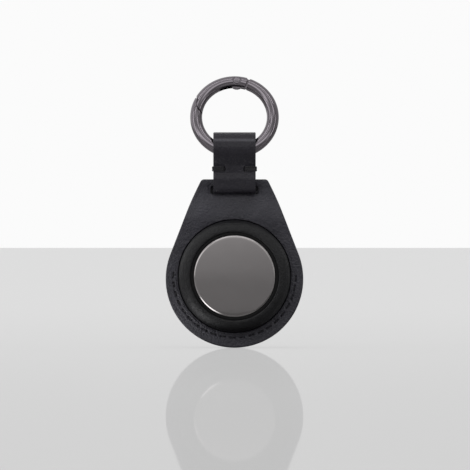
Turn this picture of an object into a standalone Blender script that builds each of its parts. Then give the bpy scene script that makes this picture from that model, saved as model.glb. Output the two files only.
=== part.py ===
"""Smart keyring: a teardrop leather fob with a round tracker tag, a leather strap and a spring-gate ring.

X runs to the right, Y away from the viewer and Z up, in metres. The origin is the centre of the ring.
Each group of pieces is built in a face frame: x right, y up and z towards the viewer.
"""
import math

import bmesh
import bpy
from mathutils import Matrix, Vector

# Ring: a round bar bent to a circle, leaning back from the viewer
RING_RADIUS = 0.0121
BAR_RADIUS = 0.0019
RING_LEAN = 23.6
RING_SEGMENTS = 64
BAR_SEGMENTS = 14

# Gate: angles are counted around the ring from its right side
PIVOT_ANGLE = 86.5
GATE_TAIL_ANGLE = 71.7
BODY_SHOULDER_ANGLE = 68.5
NOSE_OUTER_ANGLE = 154.3
NOSE_INNER_ANGLE = 161.7
NOSE_STEP_OUT = 0.00037
NOSE_GAP = 0.0003
TONGUE_THICKNESS = 0.0013
TONGUE_RADIUS = 0.0023
TONGUE_EDGE = 0.0003
FORK_SIDE_GAP = 0.00015
KNUCKLE_GAP = 0.00025
FORK_MOUTH_ANGLE = 56.0
CHANNEL_END_ANGLE = 117.0
CHANNEL_DEPTH_IN_BAR = 0.0022

# Gate hinge pin, riveted over on both sides
PIN_RADIUS = 0.0006
PIN_CLEARANCE = 0.0001
PIN_HEAD_RADIUS = 0.00125
PIN_HEAD_HEIGHT = 0.00045
PIN_HEAD_EDGE = 0.00015
PIN_SEAT_DEPTH = 0.0005

# Bore along a chord of the gate, with the spring and its plunger
BORE_TONGUE_GAP = 0.00034
BORE_END_ANGLE = 137.0
BORE_OUT = 0.00025
BORE_RADIUS = 0.00075
PLUNGER_GAP = 0.00013
PLUNGER_LENGTH = 0.0021
PLUNGER_NOSE = 0.0003
PLUNGER_STEM_GAP = 0.00015
PLUNGER_STEM_LENGTH = 0.0010
SPRING_WIRE = 0.00022
SPRING_BORE_GAP = 0.00012
SPRING_PITCH = 0.00068
SPRING_SEAT_GAP = 0.0001
SPRING_POINTS = 8

# Strap: one leather band round the ring's bar and through the slot of the fob
HINGE_INSIDE_BAR = 0.00095
STRAP_WIDTH = 0.01335
STRAP_THICKNESS = 0.0018
STRAP_BAR_GAP = 0.0003
STRAP_EYE_RISE = 0.00045
STRAP_SLIT = 0.00012
STRAP_BEND = 0.0013
STRAP_SHOULDER_BEND = 0.0018
STRAP_FRONT_GAP = 0.0003
STRAP_REAR_GAP = 0.0007
STRAP_SHOULDER_RISE = 0.0001
STRAP_FLARE = 0.00215
EYE_FORWARD = 0.0010
TACK_FORWARD = 0.0007
TACK_BELOW_EYE = 0.00023
TACK_FLAT = 0.00145
TACK_BEND = 0.00115
TACK_HEIGHT = 0.0015
TACK_THREAD = 0.0004
TACK_GAP = 0.0001
TACK_INSET = 0.0031
TACK_CORNER = 0.0003

# Fob: two leather panels with the moulded pocket's flange between them
PANEL_THICKNESS = 0.0016
FLANGE_THICKNESS = 0.0010
LAYER_GAP = 0.0001
PANEL_EDGE_ROUND = 0.00035
FLANGE_EDGE_ROUND = 0.0001
PANEL_BORDER = 0.00407
FOB_BOTTOM_CENTRE_DROP = 0.00088
FOB_SIDE_SLOPE = 21.2
FOB_SHOULDER_LENGTH = 0.0105
FOB_TOP_BORDER = 0.0034
FOB_TOP_SIDE_BORDER = 0.00275
FOB_TOP_CORNER = 0.0012
SLOT_BORDER = 0.0095
SLOT_END_GAP = 0.000925
SLOT_CLEARANCE = 0.0004

# Moulded pocket: a raised ring of leather round the tag
POCKET_TAG_GAP = 0.00025
POCKET_WALL = 0.0014
POCKET_MOUTH_STEP = 0.00045
POCKET_CREST_RISE = 0.0010
POCKET_LIP_EDGE = 0.0004
POCKET_HOLE_GAP = 0.00025
POCKET_BEND_DEPTH = 0.0034

# Tracker tag, measured forward from the rear panel's inner face
TAG_SHOULDER_WIDTH = 0.00245
TAG_BACK = 0.0002
TAG_SHELL_WALL = 0.0010
TAG_SKIRT = 0.0008
TAG_SHELL_ROUND = 0.0024
TAG_SPLIT_GAP = 0.0002
TAG_BEZEL_WIDTH = 0.0004
TAG_FACE_DROP = 0.0020
COVER_GAP = 0.0003
LIP_SEAT_GAP = 0.00015
LIP_THICKNESS = 0.0007
LIP_REACH = 0.0005
GROOVE_GAP = 0.0005

# Battery cover: a steel dish with a plastic locking ring that has three bayonet tabs
COVER_PROUD = 0.0002
COVER_SHEET = 0.00035
COVER_RIM_DEPTH = 0.00065
COVER_RIM_ROUND = 0.0003
LOCK_CELL_GAP = 0.0010
LOCK_WALL = 0.00115
LOCK_RIM_GAP = 0.0003
LOCK_SEAT_GAP = 0.00025
LOCK_FOOT = 0.0002
TAB_COUNT = 3
TAB_HALF_ANGLE = 11.0
TAB_LIP_GAP = 0.0002
TAB_THICKNESS = 0.0005
TAB_HOLD = 0.0003
COVER_TWIST = 25.0
NOTCH_EXTRA_ANGLE = 1.5

# Tag inside
BOARD_THICKNESS = 0.0006
BOARD_COIL_GAP = 0.0011
BOARD_SHELL_GAP = 0.00135
CAN_WIDTH = 0.0056
CAN_LENGTH = 0.0044
CAN_HEIGHT = 0.0009
CAN_ROUND = 0.0004
MAGNET_RADIUS = 0.0036
MAGNET_LIFT = 0.0002
MAGNET_PROUD = 0.0003
COIL_GAP = 0.00025
COIL_WALL = 0.00065
COIL_SEAT_GAP = 0.0001
COIL_HEIGHT = 0.0016
TRAY_BOARD_GAP = 0.0002
TRAY_FLOOR = 0.0005
TRAY_SHELL_GAP = 0.00035
TRAY_WALL = 0.0009
TRAY_WALL_GAP = 0.0001
TRAY_SEAT_INSET = 0.0014
TRAY_SEAT_WIDTH = 0.0010
TRAY_SEAT_HEIGHT = 0.00035

# Coin cell
CELL_RADIUS = 0.0100
CELL_HEIGHT = 0.0032
CELL_CAN_LIFT = 0.00025
CELL_CAN_WALL = 0.0005
CELL_CAP_GAP = 0.0002
CELL_CAP_SHOULDER = 0.0004
CELL_CAP_HEIGHT = 0.00085
GASKET_WALL = 0.0004
CELL_COVER_GAP = 0.0003
CELL_ROUND = 0.0003
CELL_GAP = 0.0001

# Battery contacts, bent from spring strip
CONTACT_SHEET = 0.00015
CONTACT_WIDTH = 0.0020
CONTACT_FOOT = 0.0009
CONTACT_HEIGHT = 0.0026
CONTACT_BOW = 0.00012
CONTACT_GAP = 0.0001
CONTACT_ANGLES = (60.0, 120.0)
LEAF_LENGTH = 0.0050

# Shared drawing values
CUT_OVERRUN = 0.0010
WELD_DISTANCE = 0.000001
AXIS_MERGE = 0.00001
ROUND_STEPS = 48
INNER_ROUND_STEPS = 28
SMALL_ROUND_STEPS = 20
SMOOTH_ANGLE = 32.0

FACING_VIEWER = math.radians(90)
HALF = 0.5
LIP_EDGE_SHARE = 0.25


def clear_scene():
    for item in list(bpy.data.objects):
        bpy.data.objects.remove(item, do_unlink=True)


def new_collection(name):
    collection = bpy.data.collections.new(name)
    bpy.context.scene.collection.children.link(collection)
    return collection


def principled(name, colour, roughness, metallic):
    material = bpy.data.materials.new(name)
    material.use_nodes = True
    shader = material.node_tree.nodes["Principled BSDF"]
    shader.inputs["Base Color"].default_value = (*colour, 1.0)
    shader.inputs["Roughness"].default_value = roughness
    shader.inputs["Metallic"].default_value = metallic
    return material


def make_materials():
    """Colours and finishes, as linear values."""
    return {
        "gunmetal": principled("gunmetal_plate", (0.155, 0.145, 0.155), 0.28, 1.0),
        "pin_steel": principled("riveted_steel", (0.20, 0.19, 0.20), 0.32, 1.0),
        "spring_steel": principled("spring_steel", (0.45, 0.45, 0.46), 0.35, 1.0),
        "leather": principled("grained_black_leather", (0.036, 0.037, 0.043), 0.55, 0.0),
        "moulded_leather": principled("moulded_black_leather", (0.024, 0.024, 0.027), 0.42, 0.0),
        "strap_leather": principled("black_strap_leather", (0.026, 0.025, 0.030), 0.55, 0.0),
        "thread": principled("black_waxed_thread", (0.018, 0.018, 0.020), 0.6, 0.0),
        "shell": principled("white_polycarbonate", (0.80, 0.80, 0.79), 0.3, 0.0),
        "frame": principled("black_polycarbonate", (0.012, 0.012, 0.013), 0.4, 0.0),
        "board": principled("black_circuit_board", (0.015, 0.03, 0.02), 0.5, 0.0),
        "tin": principled("tinned_steel", (0.6, 0.6, 0.6), 0.35, 1.0),
        "magnet": principled("nickel_plated_magnet", (0.5, 0.49, 0.46), 0.25, 1.0),
        "copper": principled("enamelled_copper", (0.55, 0.22, 0.09), 0.4, 1.0),
        "cell_steel": principled("cell_steel", (0.55, 0.55, 0.54), 0.3, 1.0),
        "gasket": principled("nylon_gasket", (0.5, 0.5, 0.48), 0.5, 0.0),
        "gold": principled("gold_plated_spring", (0.75, 0.55, 0.25), 0.3, 1.0),
        "cover": principled("polished_grey_steel", (0.19, 0.18, 0.175), 0.22, 1.0),
    }


def new_frame(name, collection, parent=None, location=(0, 0, 0), turn=0.0):
    """An empty that carries a group of pieces; turn is about X."""
    frame = bpy.data.objects.new(name, None)
    collection.objects.link(frame)
    frame.parent = parent
    frame.location = location
    frame.rotation_euler = (turn, 0, 0)
    return frame


def mesh_object(name, mesh, collection, frame, place, material=None):
    item = bpy.data.objects.new(name, mesh)
    collection.objects.link(item)
    item.parent = frame
    item.matrix_local = place
    if material:
        mesh.materials.clear()
        mesh.materials.append(material)
    return item


def smooth(item):
    item.data.shade_smooth()
    item.data.set_sharp_from_angle(angle=math.radians(SMOOTH_ANGLE))
    return item


def curve_to_mesh(curve, name):
    """The closed mesh of a curve, with its loose caps welded on."""
    carrier = bpy.data.objects.new(name + "_curve", curve)
    bpy.context.scene.collection.objects.link(carrier)
    graph = bpy.context.evaluated_depsgraph_get()
    mesh = bpy.data.meshes.new_from_object(carrier.evaluated_get(graph))
    bpy.data.objects.remove(carrier)
    bpy.data.curves.remove(curve)
    build = bmesh.new()
    build.from_mesh(mesh)
    bmesh.ops.remove_doubles(build, verts=build.verts, dist=WELD_DISTANCE)
    bmesh.ops.dissolve_degenerate(build, edges=build.edges, dist=WELD_DISTANCE)
    bmesh.ops.recalc_face_normals(build, faces=build.faces)
    build.to_mesh(mesh)
    build.free()
    mesh.name = name
    return mesh


def flat_mesh(name, loops, thickness, edge_round):
    """A plate with the outline and holes of the loops, centred on its own plane."""
    curve = bpy.data.curves.new(name, "CURVE")
    curve.dimensions = "2D"
    curve.fill_mode = "BOTH"
    curve.extrude = thickness * HALF - edge_round
    curve.bevel_depth = edge_round
    curve.bevel_resolution = 0
    curve.offset = -edge_round
    for loop in loops:
        spline = curve.splines.new("POLY")
        spline.points.add(len(loop) - 1)
        for point, (x, y) in zip(spline.points, loop):
            point.co = (x, y, 0, 1)
        spline.use_cyclic_u = True
    return curve_to_mesh(curve, name)


def turned(name, profile, group, frame, material=None, place=Matrix(), steps=ROUND_STEPS, ring=False):
    """A turned piece; the profile is (radius, height), its outer side running from top to bottom."""
    mesh = bpy.data.meshes.new(name)
    build = bmesh.new()
    points = [build.verts.new((radius, 0, height)) for radius, height in profile]
    for first, second in zip(points, points[1:]):
        build.edges.new((first, second))
    if ring:
        build.edges.new((points[-1], points[0]))
    build.to_mesh(mesh)
    build.free()
    item = mesh_object(name, mesh, group, frame, place, material)
    screw = item.modifiers.new("turn", "SCREW")
    screw.steps = steps
    screw.render_steps = steps
    screw.use_merge_vertices = True
    screw.merge_threshold = AXIS_MERGE
    screw.use_smooth_shade = True
    return item


def cut(item, cutter, operation="DIFFERENCE"):
    """Cuts, joins or trims a piece with a helper that is never shown itself."""
    cutter.hide_render = True
    cutter.display_type = "WIRE"
    step = item.modifiers.new(operation.lower(), "BOOLEAN")
    step.operation = operation
    step.object = cutter
    step.solver = "EXACT"


def polar(radius, angle):
    turn = math.radians(angle)
    return Vector((radius * math.cos(turn), radius * math.sin(turn)))


def direction(vector):
    return math.degrees(math.atan2(vector.y, vector.x))


def arc(centre, radius, start, end, steps):
    """Points on an arc, angles in degrees, both ends included."""
    return [Vector(centre) + polar(radius, start + (end - start) * i / steps) for i in range(steps + 1)]


def rounded(corners, steps):
    """A closed outline with each corner (point, radius) replaced by an arc."""
    points = []
    count = len(corners)
    for i, (corner, radius) in enumerate(corners):
        corner = Vector(corner)
        if radius <= 0:
            points.append(corner)
            continue
        before = (Vector(corners[i - 1][0]) - corner).normalized()
        after = (Vector(corners[(i + 1) % count][0]) - corner).normalized()
        opening = before.angle(after)
        reach = radius / math.tan(opening * HALF)
        centre = corner + (before + after).normalized() * radius / math.sin(opening * HALF)
        first = corner + before * reach - centre
        sweep = first.angle_signed(corner + after * reach - centre)
        for step in range(steps + 1):
            points.append(centre + Matrix.Rotation(-sweep * step / steps, 2) @ first)
    return points


def shifted(corners, distance):
    """A counterclockwise outline moved outwards by a distance, its bends kept parallel."""
    moved = []
    count = len(corners)
    for i, (corner, radius) in enumerate(corners):
        corner = Vector(corner)
        along = (corner - Vector(corners[i - 1][0])).normalized()
        onward = (Vector(corners[(i + 1) % count][0]) - corner).normalized()
        first = Vector((along.y, -along.x))
        second = Vector((onward.y, -onward.x))
        turn = along.x * onward.y - along.y * onward.x
        bend = radius + distance if turn > 0 else radius - distance
        moved.append((corner + (first + second) * distance / (1 + first.dot(second)), bend))
    return moved


# Round the ring and the gate
PIVOT = polar(RING_RADIUS, PIVOT_ANGLE)
STEP_RADIUS = RING_RADIUS + NOSE_STEP_OUT
NOSE_OUTER_REACH = (polar(STEP_RADIUS, NOSE_OUTER_ANGLE) - PIVOT).length
NOSE_INNER_REACH = (polar(STEP_RADIUS, NOSE_INNER_ANGLE) - PIVOT).length
BORE_START_ANGLE = PIVOT_ANGLE + math.degrees((TONGUE_RADIUS + BORE_TONGUE_GAP) / RING_RADIUS)
OUTSIDE = RING_RADIUS + BAR_RADIUS + CUT_OVERRUN
INSIDE = RING_RADIUS - BAR_RADIUS - CUT_OVERRUN
PLUNGER_RADIUS = BORE_RADIUS - PLUNGER_GAP
SPRING_RADIUS = BORE_RADIUS - SPRING_BORE_GAP - SPRING_WIRE * HALF
PLUNGER_STEM_RADIUS = SPRING_RADIUS - SPRING_WIRE * HALF - PLUNGER_STEM_GAP

# Across the tag, from the coin cell outwards to the fob's edge
CELL_CAP_RADIUS = CELL_RADIUS - CELL_CAN_WALL - GASKET_WALL - CELL_GAP * 2
LOCK_INNER_RADIUS = CELL_RADIUS + LOCK_CELL_GAP
LOCK_OUTER_RADIUS = LOCK_INNER_RADIUS + LOCK_WALL
COVER_RADIUS = LOCK_OUTER_RADIUS + LOCK_RIM_GAP + COVER_SHEET
WELL_RADIUS = COVER_RADIUS + COVER_GAP
LIP_RADIUS = WELL_RADIUS - LIP_REACH
TAB_RADIUS = LIP_RADIUS + TAB_HOLD
GROOVE_RADIUS = TAB_RADIUS + GROOVE_GAP
TAG_FACE_RADIUS = WELL_RADIUS + TAG_BEZEL_WIDTH
TAG_RADIUS = TAG_FACE_RADIUS + TAG_SHOULDER_WIDTH
TRAY_RADIUS = TAG_RADIUS - TAG_SHELL_WALL - TRAY_SHELL_GAP
BOARD_OUTER_RADIUS = TAG_RADIUS - TAG_SHELL_WALL - BOARD_SHELL_GAP
BOARD_INNER_RADIUS = MAGNET_RADIUS + COIL_GAP + COIL_WALL + BOARD_COIL_GAP
POCKET_MOUTH_RADIUS = TAG_FACE_RADIUS + POCKET_MOUTH_STEP
POCKET_INNER_RADIUS = TAG_RADIUS + POCKET_TAG_GAP
POCKET_OUTER_RADIUS = POCKET_INNER_RADIUS + POCKET_WALL
FOB_BOTTOM_RADIUS = POCKET_OUTER_RADIUS + PANEL_BORDER

# Through the tag, from its back to the pocket's crest
COIL_BACK = TAG_BACK + TAG_SHELL_WALL + COIL_SEAT_GAP
COIL_FRONT = COIL_BACK + COIL_HEIGHT
MAGNET_BACK = COIL_BACK + MAGNET_LIFT
MAGNET_FRONT = COIL_FRONT + MAGNET_PROUD
BOARD_FRONT = MAGNET_FRONT
TRAY_BACK = BOARD_FRONT + TRAY_BOARD_GAP
TRAY_FLOOR_FRONT = TRAY_BACK + TRAY_FLOOR
TRAY_SEAT_FRONT = TRAY_FLOOR_FRONT + TRAY_SEAT_HEIGHT
CELL_BACK = TRAY_SEAT_FRONT + CELL_GAP
CELL_CAP_FRONT = CELL_BACK + CELL_CAP_HEIGHT
CELL_CAN_BACK = CELL_BACK + CELL_CAN_LIFT
CELL_FRONT = CELL_BACK + CELL_HEIGHT
COVER_FACE = CELL_FRONT + CELL_COVER_GAP + COVER_SHEET
COVER_BACK = COVER_FACE - COVER_RIM_DEPTH
TAG_FACE = COVER_FACE - COVER_PROUD
LIP_FRONT = COVER_BACK - LIP_SEAT_GAP
LIP_BACK = LIP_FRONT - LIP_THICKNESS
TAB_FRONT = LIP_BACK - TAB_LIP_GAP
TAB_BACK = TAB_FRONT - TAB_THICKNESS
TAG_SHOULDER_LEVEL = TAG_FACE - TAG_FACE_DROP
TAG_FRAME_BACK = TAG_SHOULDER_LEVEL - TAG_SKIRT
TAG_SHELL_FRONT = TAG_FRAME_BACK - TAG_SPLIT_GAP
POCKET_CREST = TAG_FACE + POCKET_CREST_RISE

# The fob's layers, from back to front
STACK_BACK = -PANEL_THICKNESS
FLANGE_BACK = LAYER_GAP
FRONT_PANEL_BACK = FLANGE_BACK + FLANGE_THICKNESS + LAYER_GAP
STACK_FRONT = FRONT_PANEL_BACK + PANEL_THICKNESS
STACK_MIDDLE = (STACK_FRONT + STACK_BACK) * HALF

# Up the fob and the strap, from the tag's centre to the ring's hinge
SLOT_HEIGHT = STRAP_THICKNESS + SLOT_CLEARANCE * 2
SLOT_HALF_LENGTH = STRAP_WIDTH * HALF + SLOT_END_GAP
SLOT_ABOVE_TAG = POCKET_OUTER_RADIUS + SLOT_BORDER
FOB_TOP_HEIGHT = SLOT_ABOVE_TAG + FOB_TOP_BORDER
FOB_TOP_HALF_WIDTH = SLOT_HALF_LENGTH + FOB_TOP_SIDE_BORDER
FOB_SHOULDER_HEIGHT = FOB_TOP_HEIGHT - FOB_SHOULDER_LENGTH
STRAP_HINGE_REACH = RING_RADIUS - HINGE_INSIDE_BAR
EYE_RADIUS = HINGE_INSIDE_BAR + BAR_RADIUS + STRAP_BAR_GAP + STRAP_THICKNESS * HALF
TACK_BELOW_HINGE = EYE_RADIUS + TACK_BELOW_EYE + TACK_FLAT
STRAP_SHOULDER_BELOW_HINGE = TACK_BELOW_HINGE + TACK_FLAT + STRAP_FLARE
HINGE_ABOVE_TAG = FOB_TOP_HEIGHT + STRAP_SHOULDER_RISE + STRAP_SHOULDER_BELOW_HINGE
HINGE_ABOVE_SLOT = HINGE_ABOVE_TAG - SLOT_ABOVE_TAG


def angle_at_reach(radius, reach):
    """The angle at which a circle about the ring's centre is a given reach from the gate's pivot."""
    cosine = (radius**2 + RING_RADIUS**2 - reach**2) / (2 * radius * RING_RADIUS)
    return PIVOT_ANGLE + math.degrees(math.acos(cosine))


def nose_line(offset):
    """The split between gate and body at the nose, from outside the ring to inside it.

    Both faces are arcs about the pivot, so the gate can swing inwards past the body.
    """
    step = STEP_RADIUS + offset
    outer = NOSE_OUTER_REACH + offset
    inner = NOSE_INNER_REACH + offset
    points = []
    for i in range(5):
        radius = OUTSIDE + (step - OUTSIDE) * i / 4
        points.append(polar(radius, angle_at_reach(radius, outer)))
    start = angle_at_reach(step, outer)
    end = angle_at_reach(step, inner)
    points += arc((0, 0), step, start, end, 4)[1:]
    for i in range(1, 7):
        radius = step + (INSIDE - step) * i / 6
        points.append(polar(radius, angle_at_reach(radius, inner)))
    return points


def gate_region(offset, tail_angle):
    """The outline of the ring's part that belongs to the gate."""
    nose = nose_line(offset)
    nose_start = angle_at_reach(OUTSIDE, NOSE_OUTER_REACH + offset)
    nose_end = angle_at_reach(INSIDE, NOSE_INNER_REACH + offset)
    outside = arc((0, 0), OUTSIDE, tail_angle, nose_start, 12)[:-1]
    inside = arc((0, 0), INSIDE, nose_end, tail_angle, 12)[1:]
    return outside + nose + inside


def torus(name, group, frame, place, material):
    bpy.ops.mesh.primitive_torus_add(
        major_radius=RING_RADIUS,
        minor_radius=BAR_RADIUS,
        major_segments=RING_SEGMENTS,
        minor_segments=BAR_SEGMENTS,
    )
    item = bpy.context.active_object
    for collection in list(item.users_collection):
        collection.objects.unlink(item)
    group.objects.link(item)
    item.name = name
    item.data.name = name
    item.parent = frame
    item.matrix_local = place
    item.data.materials.append(material)
    return smooth(item)


def plate(name, loops, low, high, group, frame, place=Matrix(), material=None, edge_round=0.0):
    """A plate between two heights of its frame."""
    mesh = flat_mesh(name, loops, high - low, edge_round)
    lift = Matrix.Translation((0, 0, (low + high) * HALF))
    return mesh_object(name, mesh, group, frame, place @ lift, material)


def tongue_outline():
    """The hinge tongue: a knuckle about the pivot and a bar back into the ring's body."""
    root_angle = BODY_SHOULDER_ANGLE - math.degrees(TONGUE_RADIUS / RING_RADIUS) * HALF
    outer = RING_RADIUS + BAR_RADIUS - TONGUE_EDGE
    inner = RING_RADIUS - BAR_RADIUS + TONGUE_EDGE
    meet_outer = angle_at_reach(outer, TONGUE_RADIUS)
    meet_inner = 2 * PIVOT_ANGLE - angle_at_reach(inner, TONGUE_RADIUS)
    start = direction(polar(outer, meet_outer) - PIVOT)
    end = direction(polar(inner, meet_inner) - PIVOT) + 360
    top = arc((0, 0), outer, root_angle, meet_outer, 6)
    knuckle = arc(PIVOT, TONGUE_RADIUS, start, end, 12)
    bottom = arc((0, 0), inner, meet_inner, root_angle, 3)
    return top + knuckle[1:-1] + bottom


def fork_outline():
    """The slot in the gate: clear of the tongue, with a channel for the plunger on the inner side."""
    radius = TONGUE_RADIUS + KNUCKLE_GAP
    start = FORK_MOUTH_ANGLE
    top = arc((0, 0), OUTSIDE, start, PIVOT_ANGLE, 5)
    knuckle = arc(PIVOT, radius, PIVOT_ANGLE + 10, PIVOT_ANGLE + 88, 6)
    channel_top = RING_RADIUS - BAR_RADIUS + CHANNEL_DEPTH_IN_BAR
    channel = arc((0, 0), channel_top, PIVOT_ANGLE + 14, CHANNEL_END_ANGLE, 4)
    bottom = arc((0, 0), INSIDE, CHANNEL_END_ANGLE, start, 8)
    return top + knuckle + channel + bottom


def pin_hole(name, group, frame):
    """Hole for the pivot pin, with a flat seat for its head on each side."""
    hole = PIN_RADIUS + PIN_CLEARANCE
    seat = PIN_HEAD_RADIUS + PIN_CLEARANCE
    flat = BAR_RADIUS - PIN_SEAT_DEPTH
    over = BAR_RADIUS + CUT_OVERRUN
    profile = [(0, over), (seat, over), (seat, flat), (hole, flat), (hole, -flat), (seat, -flat)]
    profile += [(seat, -over), (0, -over)]
    place = Matrix.Translation((*PIVOT, 0))
    return turned(name, profile, group, frame, place=place, steps=SMALL_ROUND_STEPS)


def chord_place():
    """Turns z along the gate's bore, from its open end to its blind end."""
    start = polar(RING_RADIUS + BORE_OUT, BORE_START_ANGLE)
    end = polar(RING_RADIUS + BORE_OUT, BORE_END_ANGLE)
    along = (end - start).to_3d()
    turn = along.to_track_quat("Z", "Y").to_matrix().to_4x4()
    return Matrix.Translation(start.to_3d()) @ turn, along.length


def make_ring(parts, cutters, materials, ring_frame, gate_frame):
    shape = Matrix()
    body = torus("ring_body", parts, ring_frame, shape, materials["gunmetal"])
    depth = BAR_RADIUS + CUT_OVERRUN
    room = gate_region(NOSE_GAP * HALF, BODY_SHOULDER_ANGLE)
    cut(body, plate("gate_room", [room], -depth, depth, cutters, ring_frame))
    tongue = [tongue_outline()]
    half = TONGUE_THICKNESS * HALF
    cut(body, plate("hinge_tongue", tongue, -half, half, cutters, ring_frame), "UNION")
    cut(body, pin_hole("tongue_hole", cutters, ring_frame))

    back = Matrix.Translation((-PIVOT.x, -PIVOT.y, 0))
    gate = torus("ring_gate", parts, gate_frame, back, materials["gunmetal"])
    region = gate_region(-NOSE_GAP * HALF, GATE_TAIL_ANGLE)
    cut(gate, plate("gate_region", [region], -depth, depth, cutters, ring_frame), "INTERSECT")
    side = half + FORK_SIDE_GAP
    cut(gate, plate("fork_slot", [fork_outline()], -side, side, cutters, ring_frame))
    cut(gate, pin_hole("fork_hole", cutters, ring_frame))
    place, length = chord_place()
    bore = [(0, length), (BORE_RADIUS, length), (BORE_RADIUS, -BORE_RADIUS), (0, -BORE_RADIUS)]
    cut(gate, turned("spring_bore", bore, cutters, ring_frame, place=place, steps=SMALL_ROUND_STEPS))
    make_pin(parts, materials, ring_frame)
    make_plunger(parts, materials, gate_frame, back @ place)
    make_spring(parts, materials, gate_frame, back @ place, length)


def make_pin(parts, materials, ring_frame):
    seat = BAR_RADIUS - PIN_SEAT_DEPTH + PIN_CLEARANCE
    top = seat + PIN_HEAD_HEIGHT
    shoulder = top - PIN_HEAD_EDGE
    rim = PIN_HEAD_RADIUS - PIN_HEAD_EDGE
    half = [(0, top), (rim, shoulder + PIN_HEAD_EDGE * HALF), (PIN_HEAD_RADIUS, shoulder - PIN_HEAD_EDGE)]
    half += [(PIN_HEAD_RADIUS, seat), (PIN_RADIUS, seat)]
    profile = half + [(radius, -height) for radius, height in reversed(half)]
    place = Matrix.Translation((*PIVOT, 0))
    turned("gate_pivot_pin", profile, parts, ring_frame, materials["pin_steel"], place, SMALL_ROUND_STEPS)


def make_plunger(parts, materials, gate_frame, place):
    end = PLUNGER_LENGTH + PLUNGER_STEM_LENGTH
    waist = PLUNGER_RADIUS - PLUNGER_NOSE * HALF
    profile = [(0, end), (PLUNGER_STEM_RADIUS, end), (PLUNGER_STEM_RADIUS, PLUNGER_LENGTH)]
    profile += [(PLUNGER_RADIUS, PLUNGER_LENGTH), (PLUNGER_RADIUS, PLUNGER_NOSE), (waist, 0)]
    profile += [(0, -PLUNGER_NOSE * HALF)]
    turned("gate_plunger", profile, parts, gate_frame, materials["pin_steel"], place, SMALL_ROUND_STEPS)


def make_spring(parts, materials, gate_frame, place, length):
    """A compression spring as one unbroken helix between the plunger and the end of the bore."""
    start = PLUNGER_LENGTH + SPRING_SEAT_GAP + SPRING_WIRE * HALF
    end = length - SPRING_SEAT_GAP - SPRING_WIRE * HALF
    turns = int((end - start) / SPRING_PITCH)
    steps = turns * SPRING_POINTS
    curve = bpy.data.curves.new("gate_spring", "CURVE")
    curve.dimensions = "3D"
    curve.bevel_depth = SPRING_WIRE * HALF
    curve.bevel_resolution = 1
    curve.use_fill_caps = True
    spline = curve.splines.new("POLY")
    spline.points.add(steps)
    pitch = (end - start) / turns
    for i, point in enumerate(spline.points):
        across = polar(SPRING_RADIUS, 360 * i / SPRING_POINTS)
        point.co = (across.x, across.y, start + pitch * i / SPRING_POINTS, 1)
    mesh = curve_to_mesh(curve, "gate_spring")
    smooth(mesh_object("gate_spring", mesh, parts, gate_frame, place, materials["spring_steel"]))


def strap_path():
    """Corners of the strap's middle line, seen from its side: forward and up from the ring's hinge."""
    half = STRAP_THICKNESS * HALF
    middle = -EYE_FORWARD
    front = middle + (STACK_FRONT - STACK_BACK) * HALF + STRAP_FRONT_GAP + half
    rear = middle - (STACK_FRONT - STACK_BACK) * HALF - STRAP_REAR_GAP - half
    slot = -HINGE_ABOVE_SLOT
    shoulder = -STRAP_SHOULDER_BELOW_HINGE
    tack = middle + TACK_FORWARD
    layer = STRAP_SLIT * HALF + half
    low = -TACK_BELOW_HINGE - TACK_FLAT
    high = -TACK_BELOW_HINGE + TACK_FLAT
    eye = EYE_RADIUS
    top = eye + STRAP_EYE_RISE
    corners = [((front, slot), STRAP_BEND), ((front, shoulder), STRAP_SHOULDER_BEND)]
    corners += [((tack + layer, low), TACK_BEND), ((tack + layer, high), TACK_BEND)]
    corners += [(tangent_corner(tack + layer, high, eye, top, 1), eye)]
    corners += [(tangent_corner(tack - layer, high, eye, top, -1), eye)]
    corners += [((tack - layer, high), TACK_BEND), ((tack - layer, low), TACK_BEND)]
    corners += [((rear, shoulder), STRAP_SHOULDER_BEND), ((rear, slot), STRAP_BEND)]
    return corners


def tangent_corner(x, y, radius, top, side):
    """Where the line from a point past the eye's circle meets the level of the eye's top."""
    distance = math.hypot(x, y)
    lean = math.atan2(-x, -y) + side * math.asin(radius / distance)
    return (x + (top - y) * math.tan(lean), top)


def make_strap(parts, cutters, materials, frame):
    half = STRAP_THICKNESS * HALF
    middle = strap_path()
    outer = rounded(shifted(middle, half), 8)
    inner = rounded(shifted(middle, -half), 8)
    side = Matrix.Rotation(math.radians(-90), 4, "Y")
    width = STRAP_WIDTH * HALF
    strap = plate("strap", [outer, inner], -width, width, parts, frame, side, materials["strap_leather"])
    smooth(strap)
    tack = TACK_FORWARD - EYE_FORWARD
    turn = Matrix.Translation((0, -TACK_BELOW_HINGE, tack)) @ Matrix.Rotation(math.radians(90), 4, "X")
    reach = STRAP_THICKNESS + STRAP_SLIT * HALF + TACK_GAP
    tall = TACK_HEIGHT * HALF
    hole = tall + TACK_GAP
    for name, sign in (("strap_tack_left", -1), ("strap_tack_right", 1)):
        inner_x = width - TACK_INSET
        outer_x = width + TACK_GAP
        hole_outline = box_outline(sign, inner_x - TACK_THREAD - TACK_GAP, inner_x + TACK_GAP, reach * 2)
        cut(strap, plate(name + "_hole", [hole_outline], -hole, hole, cutters, frame, turn))
        band = box_outline(sign, inner_x - TACK_THREAD, outer_x + TACK_THREAD, reach + TACK_THREAD)
        gap = box_outline(sign, inner_x, outer_x, reach)
        loops = [rounded([(corner, TACK_CORNER) for corner in band], 3), gap]
        smooth(plate(name, loops, -tall, tall, parts, frame, turn, materials["thread"]))


def box_outline(sign, near, far, reach):
    """A rectangle on one side of the strap, counterclockwise."""
    low, high = sorted((sign * near, sign * far))
    return [(low, -reach), (high, -reach), (high, reach), (low, reach)]


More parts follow.
